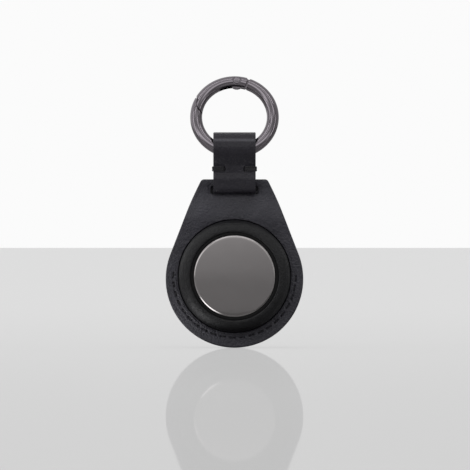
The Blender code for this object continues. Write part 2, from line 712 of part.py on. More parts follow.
def fob_outline():
    """The teardrop: a round bottom, straight sides, and shoulders that draw in to a flat top."""
    centre = Vector((0, -FOB_BOTTOM_CENTRE_DROP))
    right = centre + polar(FOB_BOTTOM_RADIUS, FOB_SIDE_SLOPE)
    rise = Vector((-math.sin(math.radians(FOB_SIDE_SLOPE)), math.cos(math.radians(FOB_SIDE_SLOPE))))
    start = right + rise * (FOB_SHOULDER_HEIGHT - right.y) / rise.y
    top = Vector((FOB_TOP_HALF_WIDTH, FOB_TOP_HEIGHT))
    bend = start + rise * (top.y - start.y) * HALF
    shoulder = [start.lerp(bend, i / 6).lerp(bend.lerp(top, i / 6), i / 6) for i in range(6)]
    corner = rounded([(shoulder[-1], 0), (top, FOB_TOP_CORNER), (Vector((0, top.y)), 0)], 5)[1:-1]
    side = shoulder + corner
    mirrored = [Vector((-point.x, point.y)) for point in reversed(side)]
    bottom = arc(centre, FOB_BOTTOM_RADIUS, 180 - FOB_SIDE_SLOPE, 360 + FOB_SIDE_SLOPE, 40)
    return bottom + side + mirrored


def slot_outline():
    end = SLOT_HEIGHT * HALF
    reach = SLOT_HALF_LENGTH
    corners = [((-reach, -end)), ((reach, -end)), ((reach, end)), ((-reach, end))]
    lifted = [((x, y + SLOT_ABOVE_TAG), SLOT_CLEARANCE) for x, y in corners]
    return rounded(lifted, 4)


def make_fob(parts, cutters, materials, frame, place):
    outline = fob_outline()
    slot = slot_outline()
    hole = arc((0, 0), POCKET_OUTER_RADIUS + POCKET_HOLE_GAP, 0, 360, ROUND_STEPS)[:-1]
    leather = materials["leather"]
    smooth(plate("rear_panel", [outline, slot], STACK_BACK, 0, parts, frame, place, leather,
                 PANEL_EDGE_ROUND))
    smooth(plate("front_panel", [outline, slot, hole], FRONT_PANEL_BACK, STACK_FRONT, parts, frame, place,
                 leather, PANEL_EDGE_ROUND))
    flange_front = FLANGE_BACK + FLANGE_THICKNESS
    collar = (POCKET_INNER_RADIUS + POCKET_OUTER_RADIUS) * HALF
    flange_hole = arc((0, 0), collar, 0, 360, ROUND_STEPS)[:-1]
    flange = plate("pocket_flange", [outline, slot, flange_hole], FLANGE_BACK, flange_front, cutters,
                   frame, place, edge_round=FLANGE_EDGE_ROUND)
    pocket = turned("moulded_pocket", pocket_profile(), parts, frame, materials["moulded_leather"], place,
                    ring=True)
    cut(pocket, flange, "UNION")


def pocket_profile():
    """Section of the raised ring: a wall that bends inwards over the tag's edge to the mouth."""
    base = FLANGE_BACK + LAYER_GAP
    bend = POCKET_CREST - POCKET_BEND_DEPTH
    centre = POCKET_MOUTH_RADIUS + POCKET_LIP_EDGE
    reach = POCKET_OUTER_RADIUS - centre
    outer = []
    for i in range(7):
        turn = math.radians(90 - 90 * i / 6)
        outer.append((centre + reach * math.cos(turn), bend + POCKET_BEND_DEPTH * math.sin(turn)))
    inner = []
    inner_reach = POCKET_INNER_RADIUS - TAG_FACE_RADIUS
    mouth_turn = math.degrees(math.acos(POCKET_MOUTH_STEP / inner_reach))
    for i in range(6):
        turn = math.radians(mouth_turn * i / 5)
        height = TAG_SHOULDER_LEVEL + (TAG_FACE_DROP + POCKET_TAG_GAP) * math.sin(turn)
        inner.append((TAG_FACE_RADIUS + inner_reach * math.cos(turn), height))
    chamfer = POCKET_LIP_EDGE * LIP_EDGE_SHARE
    lip = [(POCKET_MOUTH_RADIUS, POCKET_CREST - POCKET_LIP_EDGE)]
    lip += [(POCKET_MOUTH_RADIUS + chamfer, POCKET_CREST - chamfer)]
    return lip + outer + [(POCKET_OUTER_RADIUS, base), (POCKET_INNER_RADIUS, base)] + inner


def ring_section(inner, outer, back, front):
    """The square section of a flat ring."""
    return [(inner, front), (outer, front), (outer, back), (inner, back)]


def make_tag(parts, cutters, materials, frame, place):
    shell = rear_shell_profile()
    turned("tag_rear_shell", shell, parts, frame, materials["shell"], place, INNER_ROUND_STEPS)
    make_tag_frame(parts, cutters, materials, frame, place)
    board = ring_section(BOARD_INNER_RADIUS, BOARD_OUTER_RADIUS, BOARD_FRONT - BOARD_THICKNESS, BOARD_FRONT)
    turned("circuit_board", board, parts, frame, materials["board"], place, INNER_ROUND_STEPS, ring=True)
    make_shield_can(parts, materials, frame, place)
    magnet = [(0, MAGNET_FRONT), (MAGNET_RADIUS, MAGNET_FRONT)]
    magnet += [(MAGNET_RADIUS, MAGNET_BACK), (0, MAGNET_BACK)]
    turned("speaker_magnet", magnet, parts, frame, materials["magnet"], place, INNER_ROUND_STEPS)
    inner = MAGNET_RADIUS + COIL_GAP
    coil = ring_section(inner, inner + COIL_WALL, COIL_BACK, COIL_FRONT)
    turned("speaker_coil", coil, parts, frame, materials["copper"], place, INNER_ROUND_STEPS, ring=True)
    turned("battery_tray", tray_profile(), parts, frame, materials["frame"], place, INNER_ROUND_STEPS)
    make_cell(parts, materials, frame, place)
    make_contacts(parts, materials, frame, place)


def rear_shell_profile():
    """A shallow cup with a large round between its back and its side."""
    centre = TAG_RADIUS - TAG_SHELL_ROUND
    level = TAG_BACK + TAG_SHELL_ROUND
    inner_round = TAG_SHELL_ROUND - TAG_SHELL_WALL
    outer = [(centre + TAG_SHELL_ROUND * math.cos(math.radians(18 * i)),
              level - TAG_SHELL_ROUND * math.sin(math.radians(18 * i))) for i in range(6)]
    inner = [(centre + inner_round * math.cos(math.radians(90 - 30 * i)),
              level - inner_round * math.sin(math.radians(90 - 30 * i))) for i in range(4)]
    rim = [(TAG_RADIUS - TAG_SHELL_WALL, TAG_SHELL_FRONT), (TAG_RADIUS, TAG_SHELL_FRONT)]
    return [(0, TAG_BACK + TAG_SHELL_WALL)] + inner + rim + outer + [(0, TAG_BACK)]


def make_tag_frame(parts, cutters, materials, frame, place):
    """The front ring of the tag, with a lip that the cover's tabs turn under."""
    outer = []
    for i in range(7):
        turn = math.radians(90 - 15 * i)
        radius = TAG_FACE_RADIUS + TAG_SHOULDER_WIDTH * math.cos(turn)
        outer.append((radius, TAG_SHOULDER_LEVEL + TAG_FACE_DROP * math.sin(turn)))
    profile = [(WELL_RADIUS, TAG_FACE)] + outer
    profile += [(TAG_RADIUS, TAG_FRAME_BACK), (GROOVE_RADIUS, TAG_FRAME_BACK), (GROOVE_RADIUS, LIP_BACK)]
    profile += [(LIP_RADIUS, LIP_BACK), (LIP_RADIUS, LIP_FRONT), (WELL_RADIUS, LIP_FRONT)]
    item = turned("tag_frame", profile, parts, frame, materials["frame"], place, ring=True)
    half = TAB_HALF_ANGLE + NOTCH_EXTRA_ANGLE
    for i in range(TAB_COUNT):
        middle = 90 + COVER_TWIST + 360 * i / TAB_COUNT
        outline = sector(LIP_RADIUS - CUT_OVERRUN, (WELL_RADIUS + TAB_RADIUS) * HALF,
                         middle - half, middle + half, 4)
        notch = plate(f"tab_notch_{i + 1}", [outline], LIP_BACK - CUT_OVERRUN, LIP_FRONT + CUT_OVERRUN,
                      cutters, frame, place)
        cut(item, notch)


def sector(inner, outer, start, end, steps):
    return arc((0, 0), outer, start, end, steps) + arc((0, 0), inner, end, start, steps)


def tray_profile():
    floor_front = TRAY_FLOOR_FRONT
    seat_outer = CELL_RADIUS - TRAY_SEAT_INSET
    seat_inner = seat_outer - TRAY_SEAT_WIDTH
    wall_front = TAG_SHELL_FRONT - TRAY_WALL_GAP
    wall = TRAY_RADIUS - TRAY_WALL
    profile = [(0, floor_front), (seat_inner, floor_front), (seat_inner, TRAY_SEAT_FRONT)]
    profile += [(seat_outer, TRAY_SEAT_FRONT), (seat_outer, floor_front), (wall, floor_front)]
    profile += [(wall, wall_front), (TRAY_RADIUS, wall_front), (TRAY_RADIUS, TRAY_BACK)]
    return profile + [(0, TRAY_BACK)]


def make_shield_can(parts, materials, frame, place):
    front = BOARD_FRONT - BOARD_THICKNESS - CELL_GAP
    wide = CAN_WIDTH * HALF
    tall = CAN_LENGTH * HALF
    corners = [(-wide, -tall), (wide, -tall), (wide, tall), (-wide, tall)]
    reach = (BOARD_INNER_RADIUS + BOARD_OUTER_RADIUS) * HALF
    outline = rounded([((x, y - reach), CAN_ROUND) for x, y in corners], 3)
    plate("shield_can", [outline], front - CAN_HEIGHT, front, parts, frame, place, materials["tin"])


def make_cell(parts, materials, frame, place):
    """A coin cell: its can faces the cover, its cap faces the tray, with the gasket between."""
    inner = CELL_RADIUS - CELL_CAN_WALL
    can_floor = CELL_CAP_FRONT + CELL_CAP_GAP
    can = [(0, CELL_FRONT), (CELL_RADIUS - CELL_ROUND, CELL_FRONT), (CELL_RADIUS, CELL_FRONT - CELL_ROUND)]
    can += [(CELL_RADIUS, CELL_CAN_BACK), (inner, CELL_CAN_BACK)]
    can += [(inner, can_floor), (0, can_floor)]
    turned("coin_cell_can", can, parts, frame, materials["cell_steel"], place, INNER_ROUND_STEPS)
    step = CELL_BACK + CELL_ROUND
    cap = [(0, CELL_CAP_FRONT), (CELL_CAP_RADIUS, CELL_CAP_FRONT), (CELL_CAP_RADIUS, step)]
    cap += [(CELL_CAP_RADIUS - CELL_CAP_SHOULDER, CELL_BACK), (0, CELL_BACK)]
    turned("coin_cell_cap", cap, parts, frame, materials["cell_steel"], place, INNER_ROUND_STEPS)
    near = CELL_CAP_RADIUS + CELL_GAP
    gasket = ring_section(near, inner - CELL_GAP, CELL_CAN_BACK, CELL_CAP_FRONT)
    finish = materials["gasket"]
    turned("coin_cell_gasket", gasket, parts, frame, finish, place, INNER_ROUND_STEPS, ring=True)


def strip_outline(path):
    """A thin strip bent along a path, as a closed outline."""
    points = [Vector(point) for point in path]
    half = CONTACT_SHEET * HALF
    left = []
    right = []
    for i, point in enumerate(points):
        before = points[max(i - 1, 0)]
        after = points[min(i + 1, len(points) - 1)]
        along = (after - before).normalized()
        side = Vector((-along.y, along.x)) * half
        left.append(point + side)
        right.append(point - side)
    return left + list(reversed(right))


def make_contacts(parts, materials, frame, place):
    """Two side springs that touch the can, and one leaf under the cap."""
    side = Matrix.Rotation(math.radians(-90), 4, "Y")
    half = CONTACT_WIDTH * HALF
    floor = TRAY_FLOOR_FRONT + CONTACT_GAP + CONTACT_SHEET * HALF
    bow = CELL_RADIUS + CONTACT_GAP + CONTACT_SHEET * HALF
    outward = bow + CONTACT_BOW * 2
    top = floor + CONTACT_HEIGHT
    middle = (floor + top) * HALF
    path = [(floor, outward + CONTACT_FOOT), (floor, outward + CONTACT_SHEET)]
    path += [(floor + CONTACT_SHEET, outward)]
    path += [(middle, bow), (top - CONTACT_SHEET, bow + CONTACT_BOW), (top, outward + CONTACT_SHEET)]
    for number, angle in enumerate(CONTACT_ANGLES, 1):
        turn = Matrix.Rotation(math.radians(angle - 90), 4, "Z")
        plate(f"battery_contact_side_{number}", [strip_outline(path)], -half, half, parts, frame,
              place @ turn @ side, materials["gold"])
    end = LEAF_LENGTH * HALF
    tip = CELL_BACK - CONTACT_GAP - CONTACT_SHEET * HALF
    leaf = [(floor, -end), (floor, 0), (tip, end * HALF), (tip, end)]
    plate("battery_contact_rear", [strip_outline(leaf)], -half, half, parts, frame, place @ side,
          materials["gold"])


def make_cover(parts, cutters, materials, frame, place):
    """A flat steel dish with a rolled rim; the locking ring sits inside the rim."""
    wall = COVER_RADIUS - COVER_SHEET
    centre = COVER_RADIUS - COVER_RIM_ROUND
    rolled = []
    for i in range(6):
        turn = math.radians(90 - 18 * i)
        height = COVER_FACE - COVER_RIM_ROUND * (1 - math.sin(turn))
        rolled.append((centre + COVER_RIM_ROUND * math.cos(turn), height))
    inside = COVER_FACE - COVER_SHEET
    profile = [(0, COVER_FACE)] + rolled
    profile += [(COVER_RADIUS, COVER_BACK), (wall, COVER_BACK), (wall, inside - COVER_RIM_ROUND * HALF)]
    profile += [(wall - COVER_RIM_ROUND * HALF, inside), (0, inside)]
    turned("battery_cover", profile, parts, frame, materials["cover"], place)
    ring = ring_section(LOCK_INNER_RADIUS, LOCK_OUTER_RADIUS, TAB_BACK - LOCK_FOOT, inside - LOCK_SEAT_GAP)
    lock = turned("cover_lock_ring", ring, parts, frame, materials["frame"], place, INNER_ROUND_STEPS,
                  ring=True)
    root = (LOCK_OUTER_RADIUS + LOCK_INNER_RADIUS) * HALF
    for i in range(TAB_COUNT):
        middle = 90 + 360 * i / TAB_COUNT
        outline = sector(root, TAB_RADIUS, middle - TAB_HALF_ANGLE, middle + TAB_HALF_ANGLE, 4)
        tab = plate(f"bayonet_tab_{i + 1}", [outline], TAB_BACK, TAB_FRONT, cutters, frame, place)
        cut(lock, tab, "UNION")


def main():
    clear_scene()
    parts = new_collection("smart_keyring")
    cutters = new_collection("cutters")
    materials = make_materials()
    lean = math.radians(RING_LEAN)
    ring_frame = new_frame("ring_plane", parts, turn=FACING_VIEWER - lean)
    gate_frame = new_frame("gate_pivot", parts, ring_frame, (*PIVOT, 0))
    hinge = (0, -STRAP_HINGE_REACH * math.sin(lean), -STRAP_HINGE_REACH * math.cos(lean))
    strap_frame = new_frame("strap_hinge", parts, None, hinge, FACING_VIEWER)
    fob_frame = new_frame("fob_slot", parts, strap_frame, (0, -HINGE_ABOVE_SLOT, -EYE_FORWARD))
    cover_frame = new_frame("cover_axis", parts, fob_frame, (0, -SLOT_ABOVE_TAG, 0))
    fob_place = Matrix.Translation((0, -SLOT_ABOVE_TAG, -STACK_MIDDLE))
    cover_place = Matrix.Translation((0, 0, -STACK_MIDDLE))
    bpy.context.view_layer.update()
    make_ring(parts, cutters, materials, ring_frame, gate_frame)
    make_strap(parts, cutters, materials, strap_frame)
    make_fob(parts, cutters, materials, fob_frame, fob_place)
    make_tag(parts, cutters, materials, fob_frame, fob_place)
    make_cover(parts, cutters, materials, cover_frame, cover_place)
    bpy.context.view_layer.update()


main()
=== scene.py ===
"""Dresses the smart keyring: stitched leather, moulded pocket, plated ring and polished cover.

X runs to the right, Y away from the viewer and Z up, in metres. Leather pieces are built flat,
with x to the right, y up and z towards the viewer, and are then turned into place.
"""

import math

import bmesh
import bpy
from mathutils import Matrix, Vector


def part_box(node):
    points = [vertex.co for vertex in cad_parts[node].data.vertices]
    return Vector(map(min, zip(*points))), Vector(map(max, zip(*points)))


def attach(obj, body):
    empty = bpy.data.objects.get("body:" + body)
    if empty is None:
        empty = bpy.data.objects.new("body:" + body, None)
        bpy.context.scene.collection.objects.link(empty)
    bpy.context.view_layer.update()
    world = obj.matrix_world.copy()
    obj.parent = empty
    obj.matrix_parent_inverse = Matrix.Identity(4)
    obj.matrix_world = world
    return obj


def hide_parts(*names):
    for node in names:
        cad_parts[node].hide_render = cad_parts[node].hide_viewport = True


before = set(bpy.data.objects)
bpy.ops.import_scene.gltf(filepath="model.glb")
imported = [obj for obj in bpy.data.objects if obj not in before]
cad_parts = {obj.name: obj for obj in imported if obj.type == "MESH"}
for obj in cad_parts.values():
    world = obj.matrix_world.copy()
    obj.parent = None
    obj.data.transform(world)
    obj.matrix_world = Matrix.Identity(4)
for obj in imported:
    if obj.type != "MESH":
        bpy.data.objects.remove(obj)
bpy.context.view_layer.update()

bl_info = {
    "name": "Smart Keyring",
    "version": (1, 0, 0),
    "blender": (4, 5, 0),
    "location": "3D View > Sidebar > Keyring",
    "description": "Builds the leather, metal and thread of a smart keyring, and its studio",
    "category": "Object",
}

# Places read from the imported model
cover_low, cover_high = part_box("battery_cover")
rear_low, rear_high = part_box("rear_panel")
front_low, front_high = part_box("front_panel")
pocket_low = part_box("moulded_pocket")[0]
strap_low, strap_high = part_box("strap")
INNER_FACE = rear_low.y
TAG_HEIGHT = (cover_low.z + cover_high.z) / 2
PANEL_THICKNESS = rear_high.y - rear_low.y
FRONT_FACE = INNER_FACE - front_low.y
FRONT_BACK = INNER_FACE - front_high.y
CREST = INNER_FACE - pocket_low.y
COVER_FACE = INNER_FACE - cover_low.y
COVER_BACK = INNER_FACE - cover_high.y
COVER_RADIUS = cover_high.x
FOB_FOOT = front_low.z
FOB_TOP = front_high.z - TAG_HEIGHT
STRAP_WIDTH = strap_high.x - strap_low.x

# Fob outline, about the tag's centre
BOTTOM_RADIUS = front_high.x
BOTTOM_DROP = TAG_HEIGHT - BOTTOM_RADIUS - FOB_FOOT
SIDE_SLOPE = math.radians(21.2)
SHOULDER_HEIGHT = FOB_TOP - 0.0105
TOP_HALF_WIDTH = 0.01035
TOP_CORNER = 0.0012
SLOT_ABOVE_TAG = FOB_TOP - 0.0034
SLOT_HALF_LENGTH = 0.0076
SLOT_HALF_HEIGHT = 0.0013
SLOT_CORNER = 0.0006
REAR_SLOT_HALF_LENGTH = STRAP_WIDTH / 2 - 0.00008
REAR_SLOT_LIP = 0.00025

# Face of the front panel: heights above the tag's centre, and how far it rises or sinks
SWELL = 0.0004
SWELL_START = 0.012
SWELL_END = 0.0185
SAG = 0.0010
SAG_START = 0.0175
SAG_END = 0.0280
SAG_CURVE = 20
SHOULDER_BUMP = 0.0003
BUMP_ACROSS = 0.0098
BUMP_HEIGHT = 0.0216
BUMP_SQUASH = 0.8
BUMP_WIDTH = 0.0021
TOP_FLARE = 0.00045
SLOT_SINK = 0.00028
SLOT_SINK_REACH = 0.0011

# Stitch line: angles are counted around the tag from its right side
STITCH_FIRST = 178.3
STITCH_LAST = 358.0
GROOVE_WIDTH = 0.00032
NEEDLE_WIDTH = 0.00024
NEEDLE_DEPTH = 0.00028
PUCKER = 0.00004
STITCH_SINK = 0.7
STITCH_DIPS = ((-1.0, -0.0009), (-0.97, -0.0005), (-0.86, -0.0002), (-0.6, -0.00006), (0, 0),
               (0.6, -0.00006), (0.86, -0.0002), (0.97, -0.0005), (1.0, -0.0009))

# Moulded pocket
POCKET_RADIUS = 0.0176
POCKET_INNER = 0.0162
MOUTH_RADIUS = 0.01395
HOLE_RADIUS = 0.01785
TAG_FACE_RADIUS = 0.0135
TAG_SHOULDER = 0.0060
TAG_FACE_DROP = 0.00225
BEND_DEPTH = 0.0034
LIP_EDGE = 0.00036
FLANGE_EDGE = 0.0001
CONTACT = 0.00001
BASE_FILLET = 0.0002

# Strap, forward and up from the ring's hinge
RING_RADIUS = 0.0121
BAR_RADIUS = 0.0019
RING_LEAN = math.radians(23.6)
HINGE_REACH = 0.01115
STRAP_THICKNESS = 0.0018
EYE_RADIUS = 0.00425
EYE_TOP = 0.0045
TACK_BELOW = 0.0062
TACK_FLAT = 0.00135
SHOULDER_BELOW = 0.00933
SLOT_BELOW = 0.01283
LAYER_REACH = 0.00096
TACK_OFFSET = 0.0011
STRAP_FRONT = 0.0024
STRAP_REAR = -0.0048
STRAP_REAR_EDGE = -0.0026
STRAP_SAG = 0.00042
STRAP_BEND = 0.0013
STRAP_REAR_BEND = 0.001
STRAP_FOLD = 0.00095
STRAP_DROP = 0.0003
SHOULDER_BEND = 0.0018
TACK_BEND = 0.00095
TACK_HOLE = 0.00335
TACK_TURNS = 3
TACK_START = 0.9
TACK_PITCH = 2.02
TACK_CURVE = 1.6
TACK_SEAT = 0.8
# Painted highlight on the strap: the height of its middle, and half its width
FOLD_HIGHLIGHT_HEIGHT = -0.0073
FOLD_HIGHLIGHT_REACH = 0.0008
DENT_INSET = 0.0001
DENT_SIZE = (0.00045, 0.00095, 0.00035)

# Gate of the ring: angles are counted around it from its right side
PIVOT_ANGLE = 86.5
GATE_TAIL_ANGLE = 71.7
BODY_SHOULDER_ANGLE = 68.5
SHOULDER_STEP = 0.02
NOSE_OUTER_ANGLE = 154.9
NOSE_INNER_ANGLE = 166.0
NOSE_STEP_START = 0.00077
NOSE_STEP_END = 0.0003
NOSE_GAP = 0.00036
NOSE_INNER_GAP = 0.0005
NOSE_REAR_GAP = 0.00006
NOSE_SHELF = 0.0003
NOSE_ROUND = 0.0005
TAIL_ROUND_OUTER = 0.0011
TAIL_ROUND_INNER = 0.0005
TONGUE_THICKNESS = 0.0013
TONGUE_RADIUS = 0.0023
TONGUE_EDGE = 0.0003
TONGUE_DROP = 0.0005
FORK_SIDE_GAP = 0.00015
KNUCKLE_GAP = 0.00025
FORK_MOUTH_ANGLE = 56.0
KNUCKLE_START = 10
KNUCKLE_END = 88
CHANNEL_START = 14
CHANNEL_END_ANGLE = 117.0
CHANNEL_DEPTH = 0.0022
BORE_START_ANGLE = 99.0
BORE_END_ANGLE = 137.0
BORE_OUT = 0.00025
BORE_RADIUS = 0.00075
PIN_RADIUS = 0.0006
PIN_GAP = 0.0001
PIN_HEAD = 0.00104
PIN_SEAT = 0.00135
PIN_TOP = 0.0017
PIN_GROOVE = 0.00036
PIN_EDGE = 0.0001
CUT_OVERRUN = 0.0010

# Steel cover
COVER_SHEET = 0.00035
COVER_FILLET = 0.00012
COVER_FACET = 0.000045
RIM_SLOPES = (6, 13, 19, 23, 25, 26, 27, 28, 31)
DOME_STEPS = 16
FILLET_STEPS = 6

# Mesh steps and shared values
ROUND_STEPS = 192
PANEL_STEPS = 540
RING_STEPS = 288
BAR_STEPS = 56
POCKET_STEPS = 360
PANEL_RINGS = 30
SHOULDER_STEPS = 16
BOTTOM_STEPS = 120
BEND_STEPS = 12
CREST_STEPS = 18
STRAP_STEPS = 14
STRAP_COLUMNS = 16
TAIL_STEPS = 48
NOSE_STEPS = 24
CORNER_STEPS = 8
WELD = 0.000002
HALF = 0.5
UPRIGHT = math.radians(90)
GRAIN_WARP = 0.0007
STEEP = 0.3

# Studio. A softbox is a side of the sky, its low and high corners on a plane one unit away, its
# strength, the softness of its edge and the width of a dark surround, which makes it look crisp
VIEW_WIDTH = 0.14805
CAMERA_DISTANCE = 3.0
CAMERA_FOCUS = -0.005
CAMERA_ACROSS = 0.00016
CAMERA_UP = -0.03719
FLOOR_LEVEL = FOB_FOOT - WELD
FLOOR_RADIUS = 23.2
FLOOR_STEPS = 256
SKY_FRONT = 0.51
SKY_REAR = 0.9
SKY_RIGHT = -0.42
SKY_TOP = 0.15
SURROUND = -0.65
SOFTBOXES = (
    ("X", -1.0, (-0.52, -0.4), (-0.34, 1.0), 3.6, 0.03, 0.1),
    ("X", -1.0, (-0.86, -0.36), (-0.72, 0.4), 1.4, 0.03, 0),
    ("X", 1.0, (-0.53, -0.3), (-0.4, 0.8), 3.4, 0.03, 0.08),
    ("X", 1.0, (-0.86, -0.34), (-0.72, 0.34), 1.2, 0.03, 0),
    ("Z", 1.0, (-0.8, -0.44), (0.75, -0.29), 3.8, 0.03, 0.1),
    ("Z", 1.0, (-0.6, -0.86), (0.6, -0.72), 1.8, 0.03, 0),
    ("Y", -1.0, (-1.3, 0.35), (0.8, 0.65), 2.4, 0.3, 0))

FOB_PLACE = Matrix.Translation((0, INNER_FACE, TAG_HEIGHT)) @ Matrix.Rotation(UPRIGHT, 4, "X")
RING_PLACE = Matrix.Rotation(UPRIGHT - RING_LEAN, 4, "X")
HINGE = Vector((0, -HINGE_REACH * math.sin(RING_LEAN), -HINGE_REACH * math.cos(RING_LEAN)))
STRAP_PLACE = Matrix.Translation(HINGE) @ Matrix.Rotation(UPRIGHT, 4, "X")


def polar(radius, angle):
    turn = math.radians(angle)
    return Vector((radius * math.cos(turn), radius * math.sin(turn)))


def direction(vector):
    return math.degrees(math.atan2(vector.y, vector.x))


def arc(centre, radius, start, end, steps):
    """Points on an arc, angles in degrees, both ends included."""
    return [Vector(centre) + polar(radius, start + (end - start) * i / steps) for i in range(steps + 1)]


def rounded(corners, steps):
    """A closed outline with each corner (point, radius) replaced by an arc."""
    points = []
    count = len(corners)
    for i, (corner, radius) in enumerate(corners):
        corner = Vector(corner)
        if radius <= 0:
            points.append(corner)
            continue
        before = (Vector(corners[i - 1][0]) - corner).normalized()
        after = (Vector(corners[(i + 1) % count][0]) - corner).normalized()
        opening = before.angle(after)
        reach = radius / math.tan(opening * HALF)
        centre = corner + (before + after).normalized() * radius / math.sin(opening * HALF)
        first = corner + before * reach - centre
        sweep = first.angle_signed(corner + after * reach - centre)
        for step in range(steps + 1):
            points.append(centre + Matrix.Rotation(-sweep * step / steps, 2) @ first)
    return points


def smoothstep(low, high, value):
    share = min(max((value - low) / (high - low), 0.0), 1.0)
    return share * share * (3 - 2 * share)


def bell(distance, width):
    return math.exp(-(distance / width) ** 2)


def placed(name, data):
    """A new object in the scene, at the origin."""
    piece = bpy.data.objects.new(name, data)
    bpy.context.scene.collection.objects.link(piece)
    return piece


def mesh_of(build, name, place=None):
    """Turns a bmesh into an object at the origin."""
    bmesh.ops.recalc_face_normals(build, faces=build.faces)
    if place:
        bmesh.ops.transform(build, matrix=place, verts=build.verts)
    mesh = bpy.data.meshes.new(name)
    build.to_mesh(mesh)
    build.free()
    return placed(name, mesh)


def settled(piece):
    """Applies a piece's modifiers, or makes a mesh of its curve."""
    bpy.context.view_layer.update()
    graph = bpy.context.evaluated_depsgraph_get()
    mesh = bpy.data.meshes.new_from_object(piece.evaluated_get(graph))
    name, old = piece.name, piece.data
    bpy.data.objects.remove(piece)
    store = bpy.data.curves if isinstance(old, bpy.types.Curve) else bpy.data.meshes
    store.remove(old)
    mesh.name = name
    return placed(name, mesh)


def dress(piece, place, body, materials, nodes=(), crease=35):
    """Smooths a piece, turns it into place, gives it its materials and body and hides its replaced nodes."""
    mesh = piece.data
    mesh.shade_smooth()
    mesh.set_sharp_from_angle(angle=math.radians(crease))
    mesh.transform(place)
    mesh.materials.clear()
    for material in materials:
        mesh.materials.append(material)
    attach(piece, body)
    if nodes:
        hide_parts(*nodes)


def chain(build, points, closed=False):
    """Edges from each point to the next."""
    return [build.edges.new(pair) for pair in zip(points, points[1:] + (points[:1] if closed else []))]


def spin(build, geometry, steps):
    """Spins points and edges once about z."""
    bmesh.ops.spin(build, geom=geometry, cent=(0, 0, 0), axis=(0, 0, 1), angle=math.tau, steps=steps,
                   use_merge=True)


def prism(name, outline, low, high, slot_index=0):
    """A closed block with a flat outline, between two heights."""
    build = bmesh.new()
    points = [build.verts.new((point[0], point[1], low)) for point in outline]
    build.faces.new(points)
    walls = bmesh.ops.extrude_face_region(build, geom=build.faces[:])
    risen = [item for item in walls["geom"] if isinstance(item, bmesh.types.BMVert)]
    bmesh.ops.translate(build, verts=risen, vec=(0, 0, high - low))
    for face in build.faces:
        face.material_index = slot_index
    return mesh_of(build, name)


def spun(name, profile, steps=ROUND_STEPS, place=None):
    """A turned piece: the profile is (radius, height), spun about z."""
    build = bmesh.new()
    points = [build.verts.new((radius, 0, height)) for radius, height in profile]
    spin(build, points + chain(build, points), steps)
    bmesh.ops.remove_doubles(build, verts=build.verts, dist=WELD)
    return mesh_of(build, name, place)


def boolean(piece, cutter, operation="DIFFERENCE"):
    """Cuts or joins a piece with a helper, which is then removed."""
    step = piece.modifiers.new(operation.lower(), "BOOLEAN")
    step.operation = operation
    step.solver = "EXACT"
    step.object = cutter
    piece = settled(piece)
    bpy.data.objects.remove(cutter)
    return piece


def fob_outline():
    """The teardrop: a round bottom, straight sides, and shoulders that draw in to a flat top."""
    centre = Vector((0, -BOTTOM_DROP))
    slope = math.degrees(SIDE_SLOPE)
    right = centre + polar(BOTTOM_RADIUS, slope)
    rise = Vector((-math.sin(SIDE_SLOPE), math.cos(SIDE_SLOPE)))
    start = right + rise * (SHOULDER_HEIGHT - right.y) / rise.y
    top = Vector((TOP_HALF_WIDTH, FOB_TOP))
    bend = start + rise * (top.y - start.y) * HALF
    shoulder = []
    for i in range(SHOULDER_STEPS):
        share = i / SHOULDER_STEPS
        shoulder.append(start.lerp(bend, share).lerp(bend.lerp(top, share), share))
    corner = rounded([(shoulder[-1], 0), (top, TOP_CORNER), (Vector((0, top.y)), 0)], 10)[1:-1]
    side = shoulder + corner
    mirrored = [Vector((-point.x, point.y)) for point in reversed(side)]
    return arc(centre, BOTTOM_RADIUS, 180 - slope, 360 + slope, BOTTOM_STEPS) + side + mirrored


def outline_reach(outline, angle):
    """How far the outline is from the tag's centre in one direction."""
    ray = Vector((math.cos(angle), math.sin(angle)))
    best = 0.0
    for first, second in zip(outline, outline[1:] + outline[:1]):
        along = second - first
        cross = ray.x * along.y - ray.y * along.x
        if abs(cross) < WELD * WELD:
            continue
        share = (ray.y * first.x - ray.x * first.y) / cross
        reach = (first.x * along.y - first.y * along.x) / cross
        if -WELD <= share <= 1 + WELD and reach > best:
            best = reach
    return best


def lofted(section, steps, shape=None, closed=True):
    """A ring of leather round the tag's centre, spun and then drawn out to the fob's outline.

    Each point of the section is (share, radius, inset, depth): its distance from the centre runs
    from the radius, at share 0, to the outline, at share 1, less the inset.
    """
    build = bmesh.new()
    layers = [build.verts.layers.float.new(word) for word in ("share", "radius", "inset")]
    points = []
    for number, (*values, depth) in enumerate(section, 1):
        point = build.verts.new((number, 0, depth))
        for layer, value in zip(layers, values):
            point[layer] = value
        points.append(point)
    spin(build, points + chain(build, points, closed), steps)
    outline = fob_outline()
    reaches = [outline_reach(outline, math.tau * i / steps) for i in range(steps)]
    for vert in build.verts:
        angle = math.atan2(vert.co.y, vert.co.x)
        share, radius, inset = (vert[layer] for layer in layers)
        reach = reaches[round(angle / math.tau * steps) % steps]
        distance = radius + (reach - radius) * share - inset
        spot = Vector((distance * math.cos(angle), distance * math.sin(angle), vert.co.z))
        vert.co = shape(spot) if shape else spot
    bmesh.ops.remove_doubles(build, verts=build.verts, dist=WELD)
    for layer in layers:
        build.verts.layers.float.remove(build.verts.layers.float[-1])
    return build


def edge_round(share, radius, depth, size, way, rise, steps=4):
    """Section points round an edge, from the wall to the face.

    Way is 1 at an outer edge and -1 at a hole; rise is 1 where the face is above the wall, else -1.
    """
    points = []
    for i in range(steps + 1):
        turn = UPRIGHT * i / steps
        inset = size * (1 - math.cos(turn)) * way
        points.append((share, radius, inset, depth - size * (1 - math.sin(turn)) * rise))
    return points


